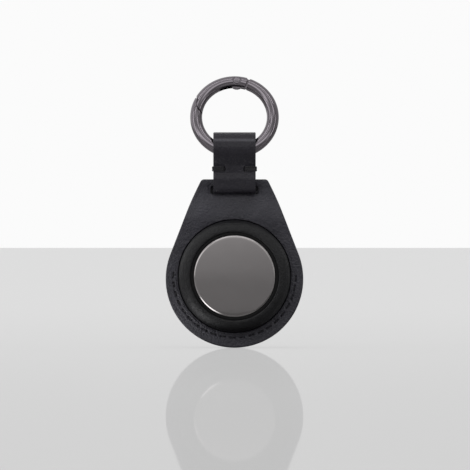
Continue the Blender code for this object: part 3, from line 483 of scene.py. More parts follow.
def slot_cutter(name, half_length, lip):
    """The slot that the strap runs through, as a block through all the layers."""
    low, high = SLOT_ABOVE_TAG - SLOT_HALF_HEIGHT + lip, SLOT_ABOVE_TAG + SLOT_HALF_HEIGHT
    corners = [(-half_length, low), (half_length, low), (half_length, high), (-half_length, high)]
    outline = rounded([(corner, SLOT_CORNER) for corner in corners], CORNER_STEPS)
    return prism(name, outline, -PANEL_THICKNESS - CUT_OVERRUN, FRONT_FACE + CUT_OVERRUN, 1)


def tube(name, paths, radius):
    """Round threads along open paths, as one mesh."""
    curve = bpy.data.curves.new(name, "CURVE")
    curve.dimensions = "3D"
    curve.bevel_depth = radius
    curve.bevel_resolution = 3
    curve.use_fill_caps = True
    for path in paths:
        spline = curve.splines.new("POLY")
        spline.points.add(len(path) - 1)
        for point, spot in zip(spline.points, path):
            point.co = (*spot, 1)
    return settled(placed(name, curve))


# Materials

def linear(text):
    """An sRGB hex colour as linear red, green, blue and alpha."""
    values = [int(text[i:i + 2], 16) / 255 for i in (1, 3, 5)]
    return (*[v / 12.92 if v <= 0.04045 else ((v + 0.055) / 1.055) ** 2.4 for v in values], 1.0)


def add_node(tree, kind, inputs=None, output=0, **settings):
    """Adds a node with its settings and its inputs, which are plain values or outputs of other nodes.

    It gives back one of the node's own outputs.
    """
    node = tree.nodes.new("ShaderNode" + kind)
    for name, value in settings.items():
        setattr(node, name, value)
    for name, value in (inputs or {}).items():
        if isinstance(value, bpy.types.NodeSocket):
            tree.links.new(value, node.inputs[name])
        else:
            node.inputs[name].default_value = value
    return node.outputs[output] if node.outputs else None


def new_material(name):
    """A material with an empty tree, that tree and its object coordinates."""
    old = bpy.data.materials.get(name)
    if old:
        bpy.data.materials.remove(old)
    material = bpy.data.materials.new(name)
    material.use_nodes = True
    tree = material.node_tree
    tree.nodes.clear()
    return material, tree, add_node(tree, "TexCoord", output="Object")


def finish_material(tree, inputs):
    add_node(tree, "OutputMaterial", {"Surface": add_node(tree, "BsdfPrincipled", inputs)})


def per_metre(millimetres):
    """The scale of a pattern whose cells or waves are this many millimetres."""
    return 1000 / millimetres


def leather(name, colour, worn, grain, roughness, depth, level, fold=None):
    """Full-grain leather, dyed and lightly finished: pebbled grain, fine pores and patchy sheen.

    Its grain is drawn coarser than fine calf's, which wouldn't show at the picture's size.
    A fold is the height of a bend where the front is painted paler, a painted highlight along the bend, and
    half that band's width.
    """
    material, tree, place = new_material(name)
    warp = add_node(tree, "TexNoise", {"Vector": place, "Scale": per_metre(1.6), "Detail": 3.0})
    bent = add_node(tree, "VectorMath", {0: warp.node.outputs["Color"], 1: (GRAIN_WARP,) * 3, 2: place},
                    operation="MULTIPLY_ADD")
    pebbles = add_node(tree, "TexVoronoi", {"Vector": bent, "Scale": per_metre(grain), "Smoothness": 0.6},
                       feature="SMOOTH_F1")
    pores = add_node(tree, "TexNoise",
                     {"Vector": place, "Scale": per_metre(0.22), "Detail": 4.0, "Roughness": 0.65})
    patches = add_node(tree, "TexNoise",
                       {"Vector": place, "Scale": per_metre(9.0), "Detail": 3.0, "Roughness": 0.6})
    height = add_node(tree, "Math", {0: pores, 1: 0.4, 2: pebbles}, operation="MULTIPLY_ADD")
    height = add_node(tree, "Math", {0: warp, 1: 1.5, 2: height}, operation="MULTIPLY_ADD")
    bump = add_node(tree, "Bump", {"Strength": 1.0, "Distance": depth, "Height": height}, invert=True)
    tint = add_node(tree, "MapRange", {"Value": patches, "From Min": 0.3, "From Max": 0.75})
    base = add_node(tree, "Mix", {"Factor": tint, 6: linear(colour), 7: linear(worn)}, 2, data_type="RGBA")
    # Painted highlight: a paler band along the bend
    if fold:
        middle, reach = fold
        up = add_node(tree, "SeparateXYZ", {0: place}, "Z")
        away = add_node(tree, "Math", {0: up, 1: middle}, operation="SUBTRACT")
        away = add_node(tree, "Math", {0: away}, operation="ABSOLUTE")
        near = add_node(tree, "MapRange", {"Value": away, "From Min": reach, "From Max": 0.0},
                        interpolation_type="SMOOTHERSTEP")
        painted_highlight = add_node(tree, "Math", {0: near, 1: pores}, operation="MULTIPLY")
        base = add_node(tree, "Mix", {"Factor": painted_highlight, 6: base, 7: linear(colours().rubbed)}, 2,
                        data_type="RGBA")
    rough = add_node(tree, "MapRange", {"Value": pores, "From Min": 0.25, "From Max": 0.75,
                                        "To Min": roughness - 0.09, "To Max": roughness + 0.09})
    finish_material(tree, {"Base Color": base, "Roughness": rough, "Normal": bump, "IOR": 1.5,
                           "Specular IOR Level": level})
    return material


def burnished_edge(name, dark, light, smoothest, roughest):
    """Cut leather edge, inked and rubbed smooth: darker than the face, with faint fibre lines."""
    material, tree, place = new_material(name)
    fibres = add_node(tree, "TexNoise",
                      {"Vector": place, "Scale": per_metre(0.35), "Detail": 5.0, "Roughness": 0.7})
    base = add_node(tree, "Mix", {"Factor": fibres, 6: linear(dark), 7: linear(light)}, 2, data_type="RGBA")
    rough = add_node(tree, "MapRange", {"Value": fibres, "To Min": smoothest, "To Max": roughest})
    bump = add_node(tree, "Bump", {"Strength": 0.6, "Distance": 0.00005, "Height": fibres})
    finish_material(tree, {"Base Color": base, "Roughness": rough, "Normal": bump})
    return material


def waxed_thread(name, dark, light):
    """Bonded polyester thread, waxed: three plies twisted to the right, dark with a dull shine.

    The thread's UV map runs once along each piece of thread and once round it, so the plies are
    scaled by their number. The fuzz is drawn coarser than real fibres.
    """
    material, tree, place = new_material(name)
    turned = add_node(tree, "Mapping", {"Vector": place.node.outputs["UV"], "Rotation": (0, 0, 0.7),
                                        "Scale": (3.0, 6.0, 1.0)})
    plies = add_node(tree, "TexWave", {"Vector": turned, "Scale": 1.0, "Distortion": 0.6, "Detail": 2.0},
                     "Fac", wave_profile="SIN")
    fuzz = add_node(tree, "TexNoise", {"Vector": place, "Scale": per_metre(0.08), "Detail": 3.0})
    height = add_node(tree, "Math", {0: fuzz, 1: 0.3, 2: plies}, operation="MULTIPLY_ADD")
    bump = add_node(tree, "Bump", {"Strength": 0.8, "Distance": 0.00006, "Height": height})
    base = add_node(tree, "Mix", {"Factor": plies, 6: linear(dark), 7: linear(light)}, 2, data_type="RGBA")
    rough = add_node(tree, "MapRange", {"Value": fuzz, "To Min": 0.5, "To Max": 0.75})
    finish_material(tree, {"Base Color": base, "Roughness": rough, "Normal": bump})
    return material


def polished_metal(name, colour, dull, roughness, scratch, depth):
    """Plated or polished metal: even colour, faint handling haze and hairline scratches.

    The scratches are drawn wider than real hairlines, which wouldn't show at the picture's size.
    """
    material, tree, place = new_material(name)
    haze = add_node(tree, "TexNoise",
                    {"Vector": place, "Scale": per_metre(5.0), "Detail": 4.0, "Roughness": 0.6})
    stretched = add_node(tree, "Mapping",
                         {"Vector": place, "Rotation": (0.3, 0.5, 0.2), "Scale": (1.0, 0.06, 0.5)})
    lines = add_node(tree, "TexNoise", {"Vector": stretched, "Scale": per_metre(scratch), "Detail": 3.0})
    base = add_node(tree, "Mix", {"Factor": haze, 6: linear(colour), 7: linear(dull)}, 2, data_type="RGBA")
    rough = add_node(tree, "MapRange", {"Value": haze, "From Min": 0.3, "From Max": 0.7,
                                        "To Min": roughness - 0.03, "To Max": roughness + 0.05})
    bump = add_node(tree, "Bump", {"Strength": 0.5, "Distance": depth, "Height": lines})
    finish_material(tree, {"Base Color": base, "Metallic": 1.0, "Roughness": rough, "Normal": bump})
    return material


def moulded_plastic(name, colour, tint, roughness, texture, level=0.5):
    """Injection-moulded plastic or a like coating: spark texture from the mould, slight tone shifts."""
    material, tree, place = new_material(name)
    spark = add_node(tree, "TexNoise",
                     {"Vector": place, "Scale": per_metre(texture), "Detail": 3.0, "Roughness": 0.6})
    tone = add_node(tree, "TexNoise", {"Vector": place, "Scale": per_metre(8.0), "Detail": 2.0})
    base = add_node(tree, "Mix", {"Factor": tone, 6: linear(colour), 7: linear(tint)}, 2, data_type="RGBA")
    rough = add_node(tree, "MapRange",
                     {"Value": spark, "To Min": roughness - 0.08, "To Max": roughness + 0.08})
    bump = add_node(tree, "Bump", {"Strength": 0.4, "Distance": 0.00003, "Height": spark})
    finish_material(tree, {"Base Color": base, "Roughness": rough, "Normal": bump,
                           "Specular IOR Level": level})
    return material


# Settings

class KeyringSizes(bpy.types.PropertyGroup):
    """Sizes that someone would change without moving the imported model."""
    panel_edge: bpy.props.FloatProperty(
        name="Panel Edge", description="Radius on the cut edges of the leather panels",
        default=0.00035, unit="LENGTH")
    strap_edge: bpy.props.FloatProperty(
        name="Strap Edge", description="Radius on the cut edges of the strap", default=0.0003, unit="LENGTH")
    stitch_radius: bpy.props.FloatProperty(
        name="Stitch Line", description="Radius of the stitch line about the tag", default=0.0192,
        unit="LENGTH")
    stitch_drop: bpy.props.FloatProperty(
        name="Stitch Drop", description="How far below the tag's centre the stitch line is centred",
        default=0.00015, unit="LENGTH")
    stitch_count: bpy.props.IntProperty(
        name="Stitches", description="Stitches round the lower half of the fob", default=21, min=4)
    stitch_length: bpy.props.FloatProperty(
        name="Stitch Length", description="Length of thread that one stitch shows", default=0.0016,
        unit="LENGTH")
    thread_radius: bpy.props.FloatProperty(
        name="Thread Radius", description="Radius of the panel thread", default=0.00017, unit="LENGTH")
    groove_depth: bpy.props.FloatProperty(
        name="Groove Depth", description="How deep the stitches draw the leather in", default=0.00016,
        unit="LENGTH")
    tack_thread: bpy.props.FloatProperty(
        name="Tack Thread Radius", description="Radius of the thread of the strap's tacks", default=0.00024,
        unit="LENGTH")
    cover_dome: bpy.props.FloatProperty(
        name="Cover Dome", description="Rise of the steel cover's middle above its rim", default=0.0004,
        unit="LENGTH")
    grain: bpy.props.FloatProperty(
        name="Leather Grain", description="Width of one pebble of the leather's grain, in millimetres",
        default=0.55, min=0.1)


class KeyringColours(bpy.types.PropertyGroup):
    """Colours as sRGB hex values."""
    panel: bpy.props.StringProperty(name="Panel", description="Leather of the fob", default="#2A2930")
    panel_worn: bpy.props.StringProperty(
        name="Panel Worn", description="Lighter patches of the fob's leather", default="#37363E")
    strap: bpy.props.StringProperty(name="Strap", description="Leather of the strap", default="#232127")
    strap_worn: bpy.props.StringProperty(
        name="Strap Worn", description="Lighter patches of the strap's leather", default="#2B2A30")
    pocket: bpy.props.StringProperty(name="Pocket", description="Moulded leather", default="#111113")
    pocket_worn: bpy.props.StringProperty(
        name="Pocket Worn", description="Lighter patches of the moulded leather", default="#1A1A1C")
    # Painted highlight: the pale band along the strap's fold
    rubbed: bpy.props.StringProperty(
        name="Rubbed", description="Leather that is rubbed pale at a fold", default="#5C5B61")
    edge: bpy.props.StringProperty(name="Edge", description="Inked leather edges", default="#26262A")
    thread: bpy.props.StringProperty(name="Thread", description="Sewing thread", default="#1F1E22")
    ring: bpy.props.StringProperty(name="Ring", description="Gunmetal plating of the ring", default="#7D787D")
    cover: bpy.props.StringProperty(name="Cover", description="Polished grey steel", default="#A6A2A2")


def sizes():
    return bpy.context.scene.keyring_sizes


def colours():
    return bpy.context.scene.keyring_colours


# Stitch line

def stitch_angles():
    """Directions of the stitches' middles about the stitch line's centre, from left to right."""
    count = sizes().stitch_count
    return [STITCH_FIRST + (STITCH_LAST - STITCH_FIRST) * i / (count - 1) for i in range(count)]


def stitch_point(angle):
    return Vector((0, -sizes().stitch_drop)) + polar(sizes().stitch_radius, angle)


def stitch_shape(face, out):
    """Draws the leather in under each stitch and round its needle holes, and leaves it full between."""
    values = sizes()
    angles = stitch_angles()
    pitch = angles[1] - angles[0]
    half = values.stitch_length * HALF

    def shaped(spot):
        if abs(spot.z - face) > values.panel_edge * HALF:
            return spot
        flat = Vector((spot.x, spot.y + values.stitch_drop))
        away = flat.length - values.stitch_radius
        if abs(away) > GROOVE_WIDTH * 4:
            return spot
        turn = (direction(flat) - angles[0] + pitch * HALF) % 360
        if turn > pitch * len(angles):
            return spot
        along = math.radians(abs(turn % pitch - pitch * HALF)) * values.stitch_radius
        under = 1 - smoothstep(half * 0.9, half * 1.3, along)
        sink = values.groove_depth * bell(away, GROOVE_WIDTH) * under
        sink += NEEDLE_DEPTH * bell(math.hypot(away, along - half), NEEDLE_WIDTH)
        sink -= PUCKER * bell(abs(away) - GROOVE_WIDTH * 2, GROOVE_WIDTH)
        return Vector((spot.x, spot.y, spot.z - sink * out))
    return shaped


def crown(spot):
    """The panel swells over the pocket's shoulder, sinks where the strap pulls, and flares at its top."""
    across, up = abs(spot.x), spot.y
    rise = SWELL * smoothstep(SWELL_START, SWELL_END, up)
    rise -= SAG * smoothstep(SAG_START, SAG_END - SAG_CURVE * across * across, up)
    bump = math.hypot(across - BUMP_ACROSS, (up - BUMP_HEIGHT) * BUMP_SQUASH)
    rise += SHOULDER_BUMP * bell(bump, BUMP_WIDTH)
    rise += TOP_FLARE * smoothstep(SLOT_ABOVE_TAG, FOB_TOP, up)
    lip = math.hypot(max(across - SLOT_HALF_LENGTH, 0), max(abs(up - SLOT_ABOVE_TAG) - SLOT_HALF_HEIGHT, 0))
    rise -= SLOT_SINK * (1 - smoothstep(0, SLOT_SINK_REACH, lip))
    return Vector((spot.x, spot.y, spot.z + rise * smoothstep(FRONT_BACK, FRONT_FACE, spot.z)))


def make_front_panel():
    edge = sizes().panel_edge
    section = [(0, HOLE_RADIUS, 0, FRONT_BACK)]
    section += edge_round(0, HOLE_RADIUS, FRONT_FACE, edge * HALF, -1, 1)
    for i in range(1, PANEL_RINGS):
        share = i / PANEL_RINGS
        section.append((share, HOLE_RADIUS, edge * share - edge * HALF * (1 - share), FRONT_FACE))
    section += reversed(edge_round(1, HOLE_RADIUS, FRONT_FACE, edge, 1, 1))
    section += edge_round(1, HOLE_RADIUS, FRONT_BACK, edge * HALF, 1, -1)
    section += [(share, HOLE_RADIUS, 0, FRONT_BACK) for share in (0.8, 0.55, 0.3)]
    stitched = stitch_shape(FRONT_FACE, 1)
    build = lofted(section, PANEL_STEPS, lambda spot: crown(stitched(spot)))
    return mesh_of(build, "front_panel_leather")


def make_rear_panel():
    edge = sizes().panel_edge
    radius = HOLE_RADIUS
    back = -PANEL_THICKNESS
    section = [(0, 0, 0, 0)] + [(0, radius * i / 3, 0, 0) for i in (1, 2, 3)]
    section += [(1, radius, edge, 0)]
    section += reversed(edge_round(1, radius, 0, edge * HALF, 1, 1)[:-1])
    section += edge_round(1, radius, back, edge, 1, -1)
    shares = [1 - i / PANEL_RINGS for i in range(1, PANEL_RINGS + 1)]
    section += [(share, radius, edge * share, back) for share in shares]
    section += [(0, radius * i / 6, 0, back) for i in range(5, -1, -1)]
    build = lofted(section, PANEL_STEPS, stitch_shape(back, -1), closed=False)
    return mesh_of(build, "rear_panel_leather")


def make_pocket():
    """The raised ring and the flange under the front panel, moulded from one hide."""
    flange_back, flange_front = CONTACT, FRONT_BACK - CONTACT
    radius = POCKET_RADIUS
    section = [(0, POCKET_INNER, 0, flange_back), (0, POCKET_INNER, 0, TAG_SHOULDER * HALF)]
    reach = POCKET_INNER - TAG_FACE_RADIUS
    end = math.acos((MOUTH_RADIUS - TAG_FACE_RADIUS) / reach)
    for i in range(BEND_STEPS + 1):
        turn = end * i / BEND_STEPS
        section.append((0, TAG_FACE_RADIUS + reach * math.cos(turn), 0,
                        TAG_SHOULDER + TAG_FACE_DROP * math.sin(turn)))
    section += edge_round(0, MOUTH_RADIUS, CREST, LIP_EDGE, -1, 1, 6)
    centre = MOUTH_RADIUS + LIP_EDGE
    bend = CREST - BEND_DEPTH
    for i in range(1, CREST_STEPS + 1):
        turn = UPRIGHT * (1 - i / CREST_STEPS)
        reach = centre + (radius - centre) * math.cos(turn)
        section.append((0, reach, 0, bend + BEND_DEPTH * math.sin(turn)))
    section += [(0, radius, 0, (bend + flange_front) * HALF), (0, radius, 0, flange_front + BASE_FILLET),
                (0, radius, -BASE_FILLET, flange_front)]
    section += [(share, radius, 0, flange_front) for share in (0.5, 0.85)]
    section += reversed(edge_round(1, radius, flange_front, FLANGE_EDGE, 1, 1, 2))
    section += edge_round(1, radius, flange_back, FLANGE_EDGE, 1, -1, 2)
    section += [(0.6, radius, 0, flange_back)]
    build = lofted(section, POCKET_STEPS)
    for face in build.faces:
        spot = face.calc_center_median()
        if spot.xy.length < MOUTH_RADIUS + LIP_EDGE and spot.z > CREST - LIP_EDGE:
            face.material_index = 1
    return mesh_of(build, "moulded_pocket_leather")


def make_strap():
    """One band round the bar and through the slot, with rounded edges and dents under its tacks."""
    low, high = -TACK_BELOW - TACK_FLAT, -TACK_BELOW + TACK_FLAT
    front_x, rear_x = TACK_OFFSET + LAYER_REACH, TACK_OFFSET - LAYER_REACH

    def tangent(x, side):
        lean = math.atan2(-x, -high) + side * math.asin(EYE_RADIUS / math.hypot(x, high))
        return (x + (EYE_TOP - high) * math.tan(lean), EYE_TOP)

    path = rounded([
        ((STRAP_FRONT, -SLOT_BELOW - STRAP_DROP), STRAP_FOLD),
        ((STRAP_FRONT, -SHOULDER_BELOW), SHOULDER_BEND),
        ((front_x, low), TACK_BEND), ((front_x, high), TACK_BEND),
        (tangent(front_x, 1), EYE_RADIUS), (tangent(rear_x, -1), EYE_RADIUS),
        ((rear_x, high), TACK_BEND), ((rear_x, low), TACK_BEND),
        ((STRAP_REAR, -SHOULDER_BELOW), SHOULDER_BEND),
        ((STRAP_REAR, -SLOT_BELOW - STRAP_SAG), STRAP_BEND),
        ((STRAP_REAR_EDGE, -SLOT_BELOW), STRAP_REAR_BEND),
    ], STRAP_STEPS)
    build = bmesh.new()
    points = [build.verts.new((-STRAP_WIDTH * HALF, up, forward)) for forward, up in path]
    edges = chain(build, points, True)
    for _ in range(STRAP_COLUMNS):
        made = bmesh.ops.extrude_edge_only(build, edges=edges)["geom"]
        fresh = [item for item in made if isinstance(item, bmesh.types.BMVert)]
        bmesh.ops.translate(build, verts=fresh, vec=(STRAP_WIDTH / STRAP_COLUMNS, 0, 0))
        edges = [item for item in made if isinstance(item, bmesh.types.BMEdge)
                 and all(vert in fresh for vert in item.verts)]
    piece = mesh_of(build, "strap_band")
    wall = piece.modifiers.new("thickness", "SOLIDIFY")
    wall.thickness = STRAP_THICKNESS
    wall.offset = 0
    wall.use_even_offset = True
    edge = piece.modifiers.new("edges", "BEVEL")
    edge.width = sizes().strap_edge
    edge.segments = 4
    edge.limit_method = "ANGLE"
    edge.angle_limit = math.radians(60)
    dents = bmesh.new()
    for side in (-1, 1):
        for way in (-1, 1):
            forward = TACK_OFFSET + way * (LAYER_REACH + STRAP_THICKNESS * HALF)
            spot = (side * (TACK_HOLE - DENT_INSET), -TACK_BELOW, forward)
            place = Matrix.Translation(spot) @ Matrix.Diagonal((*DENT_SIZE, 1))
            bmesh.ops.create_uvsphere(dents, u_segments=24, v_segments=16, radius=1, matrix=place)
    return boolean(settled(piece), mesh_of(dents, "thread_dents"))


def make_tack(name, side):
    """Three turns of thread round one edge of the doubled strap, through a hole in both layers.

    Their pitch, their bends and how far they stand off the edge are counted in thread radii.
    """
    thread = sizes().tack_thread
    reach = LAYER_REACH + STRAP_THICKNESS * HALF + thread
    out = STRAP_WIDTH * HALF + thread * TACK_SEAT
    corners = [(TACK_HOLE, -reach), (out, -reach), (out, reach), (TACK_HOLE, reach)]
    loop = rounded([(corner, thread * TACK_CURVE) for corner in corners], 6)
    rise = thread * TACK_PITCH
    path = []
    count = len(loop)
    start = int(count * TACK_START)
    for step in range(TACK_TURNS * count + 1):
        x, forward = loop[(start + step) % count]
        height = (step / count - TACK_TURNS * HALF) * rise
        path.append((side * x, height - TACK_BELOW, forward + TACK_OFFSET))
    return tube(name, [path], thread)


def make_stitching():
    """Stitches on both faces; each one dips into a hole at either end."""
    values = sizes()
    half = math.degrees(values.stitch_length * HALF / values.stitch_radius)
    sunk = values.groove_depth * STITCH_SINK
    paths = []
    for face, out in ((FRONT_FACE, 1), (-PANEL_THICKNESS, -1)):
        for angle in stitch_angles():
            path = []
            for share, rise in STITCH_DIPS:
                spot = stitch_point(angle + half * share)
                path.append((spot.x, spot.y, face + (rise - sunk) * out))
            paths.append(path)
    return tube("panel_stitching", paths, values.thread_radius)


def make_cover():
    """Pressed steel dish with a slightly domed face and a faceted rim that grows steeper outwards; the rim is
    paler steel, a painted highlight.
    """
    dome = sizes().cover_dome
    inner = COVER_RADIUS - COVER_FILLET - COVER_FACET * len(RIM_SLOPES)
    profile = []
    for i in range(DOME_STEPS + 1):
        radius = inner * i / DOME_STEPS
        profile.append((radius, COVER_FACE + dome * (1 - (radius / inner) ** 2)))
    for slope in RIM_SLOPES:
        radius, height = profile[-1]
        profile.append((radius + COVER_FACET, height - COVER_FACET * math.tan(math.radians(slope))))
    shoulder = profile[-1][1]
    start = math.radians(90 - RIM_SLOPES[-1])
    for i in range(1, FILLET_STEPS + 1):
        turn = start * (1 - i / FILLET_STEPS)
        height = shoulder - COVER_FILLET * (math.sin(start) - math.sin(turn))
        profile.append((COVER_RADIUS - COVER_FILLET * (1 - math.cos(turn)), height))
    wall = COVER_RADIUS - COVER_SHEET
    profile += [(COVER_RADIUS, COVER_BACK), (wall, COVER_BACK), (wall, shoulder - COVER_SHEET)]
    profile += [(inner, COVER_FACE - COVER_SHEET), (0, COVER_FACE - COVER_SHEET)]
    piece = spun("battery_cover_steel", profile)
    # The rim's faces take the second slot, the paler steel of the painted highlight
    for face in piece.data.polygons:
        if face.center.xy.length > inner + COVER_FACET * 2 and face.center.z > shoulder:
            face.material_index = 1
    return piece


# Ring and gate

PIVOT = polar(RING_RADIUS, PIVOT_ANGLE)
STEP_START = RING_RADIUS + NOSE_STEP_START
STEP_END = RING_RADIUS + NOSE_STEP_END
NOSE_OUTER_REACH = (polar(STEP_START, NOSE_OUTER_ANGLE) - PIVOT).length
NOSE_INNER_REACH = (polar(STEP_END, NOSE_INNER_ANGLE) - PIVOT).length
OUTERMOST = RING_RADIUS + BAR_RADIUS
INNERMOST = RING_RADIUS - BAR_RADIUS
OUTSIDE = OUTERMOST + CUT_OVERRUN
INSIDE = INNERMOST - CUT_OVERRUN
CUT_DEPTH = BAR_RADIUS + CUT_OVERRUN


def angle_at_reach(radius, reach):
    """The angle at which a circle about the ring's centre is a given reach from the gate's pivot."""
    cosine = (radius**2 + RING_RADIUS**2 - reach**2) / (2 * radius * RING_RADIUS)
    return PIVOT_ANGLE + math.degrees(math.acos(cosine))


def rounding(over, fillet):
    """How far a rounded corner draws back, this far past the place where its rounding starts."""
    over = min(max(over, 0), fillet)
    return fillet - math.sqrt(fillet**2 - over**2)


def gate_region(offset, tail_angle, outer_tail=0, inner_tail=0, nose_round=0):
    """The part of the ring that belongs to the gate; its nose faces are arcs about the pivot.

    The two corners of the tail and the outer corner of the nose may be rounded.
    """
    tail = []
    for i in range(TAIL_STEPS + 1):
        radius = INSIDE + (OUTSIDE - INSIDE) * i / TAIL_STEPS
        back = rounding(radius - OUTERMOST + outer_tail, outer_tail)
        back += rounding(INNERMOST - radius + inner_tail, inner_tail)
        tail.append(polar(radius, tail_angle + math.degrees(back / radius)))
    first, last = STEP_START + offset, STEP_END + offset
    outer = NOSE_OUTER_REACH + offset
    inner = NOSE_INNER_REACH + offset * NOSE_INNER_GAP / NOSE_GAP
    nose = []
    for i in range(NOSE_STEPS + 1):
        radius = OUTSIDE + (first - OUTSIDE) * i / NOSE_STEPS
        back = rounding(radius - OUTERMOST + nose_round, nose_round)
        nose.append(polar(radius, angle_at_reach(radius, outer - back)))
    start, end = angle_at_reach(first, outer), angle_at_reach(last, inner)
    for i in range(1, BEND_STEPS + 1):
        share = i / BEND_STEPS
        nose.append(polar(first + (last - first) * share, start + (end - start) * share))
    for i in range(1, CREST_STEPS + 1):
        radius = last + (INSIDE - last) * i / CREST_STEPS
        nose.append(polar(radius, angle_at_reach(radius, inner)))
    outside = arc((0, 0), OUTSIDE, direction(tail[-1]), direction(nose[0]), TAIL_STEPS)[1:-1]
    inside = arc((0, 0), INSIDE, angle_at_reach(INSIDE, inner), direction(tail[0]), TAIL_STEPS)[1:-1]
    return tail + outside + nose + inside


def tongue_outline():
    """The hinge tongue: a knuckle about the pivot and a bar back into the ring's body."""
    root_angle = BODY_SHOULDER_ANGLE - math.degrees(TONGUE_RADIUS / RING_RADIUS) * HALF
    outer = OUTERMOST - TONGUE_DROP
    inner = INNERMOST + TONGUE_EDGE
    meet_outer = angle_at_reach(outer, TONGUE_RADIUS)
    meet_inner = 2 * PIVOT_ANGLE - angle_at_reach(inner, TONGUE_RADIUS)
    start = direction(polar(outer, meet_outer) - PIVOT)
    end = direction(polar(inner, meet_inner) - PIVOT) + 360
    top = arc((0, 0), outer, root_angle, meet_outer, 12)
    knuckle = arc(PIVOT, TONGUE_RADIUS, start, end, 48)
    return top + knuckle[1:-1] + arc((0, 0), inner, meet_inner, root_angle, 8)


def fork_outline():
    """The slot in the gate: clear of the tongue, with a channel for the plunger on the inner side."""
    radius = TONGUE_RADIUS + KNUCKLE_GAP
    start = FORK_MOUTH_ANGLE
    top = arc((0, 0), OUTSIDE, start, PIVOT_ANGLE, 16)
    knuckle = arc(PIVOT, radius, PIVOT_ANGLE + KNUCKLE_START, PIVOT_ANGLE + KNUCKLE_END, 24)
    channel_top = INNERMOST + CHANNEL_DEPTH
    channel = arc((0, 0), channel_top, PIVOT_ANGLE + CHANNEL_START, CHANNEL_END_ANGLE, 16)
    return top + knuckle + channel + arc((0, 0), INSIDE, CHANNEL_END_ANGLE, start, 48)


def torus(name):
    """The whole ring of bar, with a second slot for its cut faces."""
    build = bmesh.new()
    bmesh.ops.create_circle(build, radius=BAR_RADIUS, segments=BAR_STEPS)
    turn = Matrix.Translation((RING_RADIUS, 0, 0)) @ Matrix.Rotation(UPRIGHT, 4, "X")
    bmesh.ops.transform(build, matrix=turn, verts=build.verts)
    spin(build, build.verts[:] + build.edges[:], RING_STEPS)
    bmesh.ops.remove_doubles(build, verts=build.verts, dist=WELD)
    piece = mesh_of(build, name)
    for _ in range(2):
        piece.data.materials.append(None)
    return piece


def pin_cutter(name):
    """Hole for the pivot pin, with a flat seat for its head on each side."""
    hole = PIN_RADIUS + PIN_GAP
    seat = PIN_HEAD + PIN_GROOVE
    profile = [(0, CUT_DEPTH), (seat, CUT_DEPTH), (seat, PIN_SEAT), (hole, PIN_SEAT), (hole, -PIN_SEAT),
               (seat, -PIN_SEAT), (seat, -CUT_DEPTH), (0, -CUT_DEPTH)]
    cutter = spun(name, profile, 48, Matrix.Translation((*PIVOT, 0)))
    # Its faces take the second slot, the joints' painted shade
    for face in cutter.data.polygons:
        face.material_index = 1
    return cutter


def make_ring_body():
    """The fixed part: room for the gate, behind whose nose a shelf stops the light, and the tongue."""
    half = TONGUE_THICKNESS * HALF
    body = torus("ring_body_plated")
    # The gate's room, the tongue's flat faces and the pin's seats take the second slot, the joints' painted
    # shade
    front, rear = NOSE_GAP * HALF, NOSE_REAR_GAP - NOSE_GAP * HALF
    # The end walls of the two cuts are a hair apart: in one plane, they came out differently each run
    for offset, angle, low, high in ((front, BODY_SHOULDER_ANGLE, -NOSE_SHELF, CUT_DEPTH),
                                     (rear, BODY_SHOULDER_ANGLE + SHOULDER_STEP, -CUT_DEPTH, 0)):
        body = boolean(body, prism("gate_room", gate_region(offset, angle), low, high, 1))
    tongue = prism("tongue", tongue_outline(), -half, half)
    for face in tongue.data.polygons:
        face.material_index = round(abs(face.normal.z))
    body = boolean(body, tongue, "UNION")
    return boolean(body, pin_cutter("tongue_hole"))


def make_ring_gate():
    """The gate, with the fork for the tongue, the channel for the plunger and the spring's bore."""
    side = TONGUE_THICKNESS * HALF + FORK_SIDE_GAP
    gate = torus("ring_gate_plated")
    outline = gate_region(-NOSE_GAP * HALF, GATE_TAIL_ANGLE, TAIL_ROUND_OUTER, TAIL_ROUND_INNER, NOSE_ROUND)
    # The cut faces of the gate, its fork and its pin seat take the second slot, the joints' painted shade
    region = prism("gate_region", outline, -CUT_DEPTH, CUT_DEPTH, 1)
    gate = boolean(gate, region, "INTERSECT")
    gate = boolean(gate, prism("fork", fork_outline(), -side, side, 1))
    gate = boolean(gate, pin_cutter("fork_hole"))
    start = polar(RING_RADIUS + BORE_OUT, BORE_START_ANGLE).to_3d()
    end = polar(RING_RADIUS + BORE_OUT, BORE_END_ANGLE).to_3d()
    along = end - start
    place = Matrix.Translation(start) @ along.to_track_quat("Z", "Y").to_matrix().to_4x4()
    bore = [(0, along.length), (BORE_RADIUS, along.length), (BORE_RADIUS, -BORE_RADIUS), (0, -BORE_RADIUS)]
    return boolean(gate, spun("bore", bore, 32, place))


def make_rivet():
    """Pivot pin, its two heads domed over by the riveting."""
    head = [(0, PIN_TOP), (PIN_HEAD * HALF, PIN_TOP - PIN_EDGE * 0.15)]
    for i in range(FILLET_STEPS + 1):
        turn = UPRIGHT * i / FILLET_STEPS
        radius = PIN_HEAD - PIN_EDGE * (1 - math.sin(turn))
        head.append((radius, PIN_TOP - PIN_EDGE * (1.4 - math.cos(turn))))
    half = head + [(PIN_HEAD, PIN_SEAT + PIN_GAP), (PIN_RADIUS, PIN_SEAT + PIN_GAP)]
    profile = half + [(radius, -height) for radius, height in reversed(half)]
    return spun("gate_pivot_rivet", profile, 64, Matrix.Translation((*PIVOT, 0)))


# Operators: one for each piece or group of like pieces

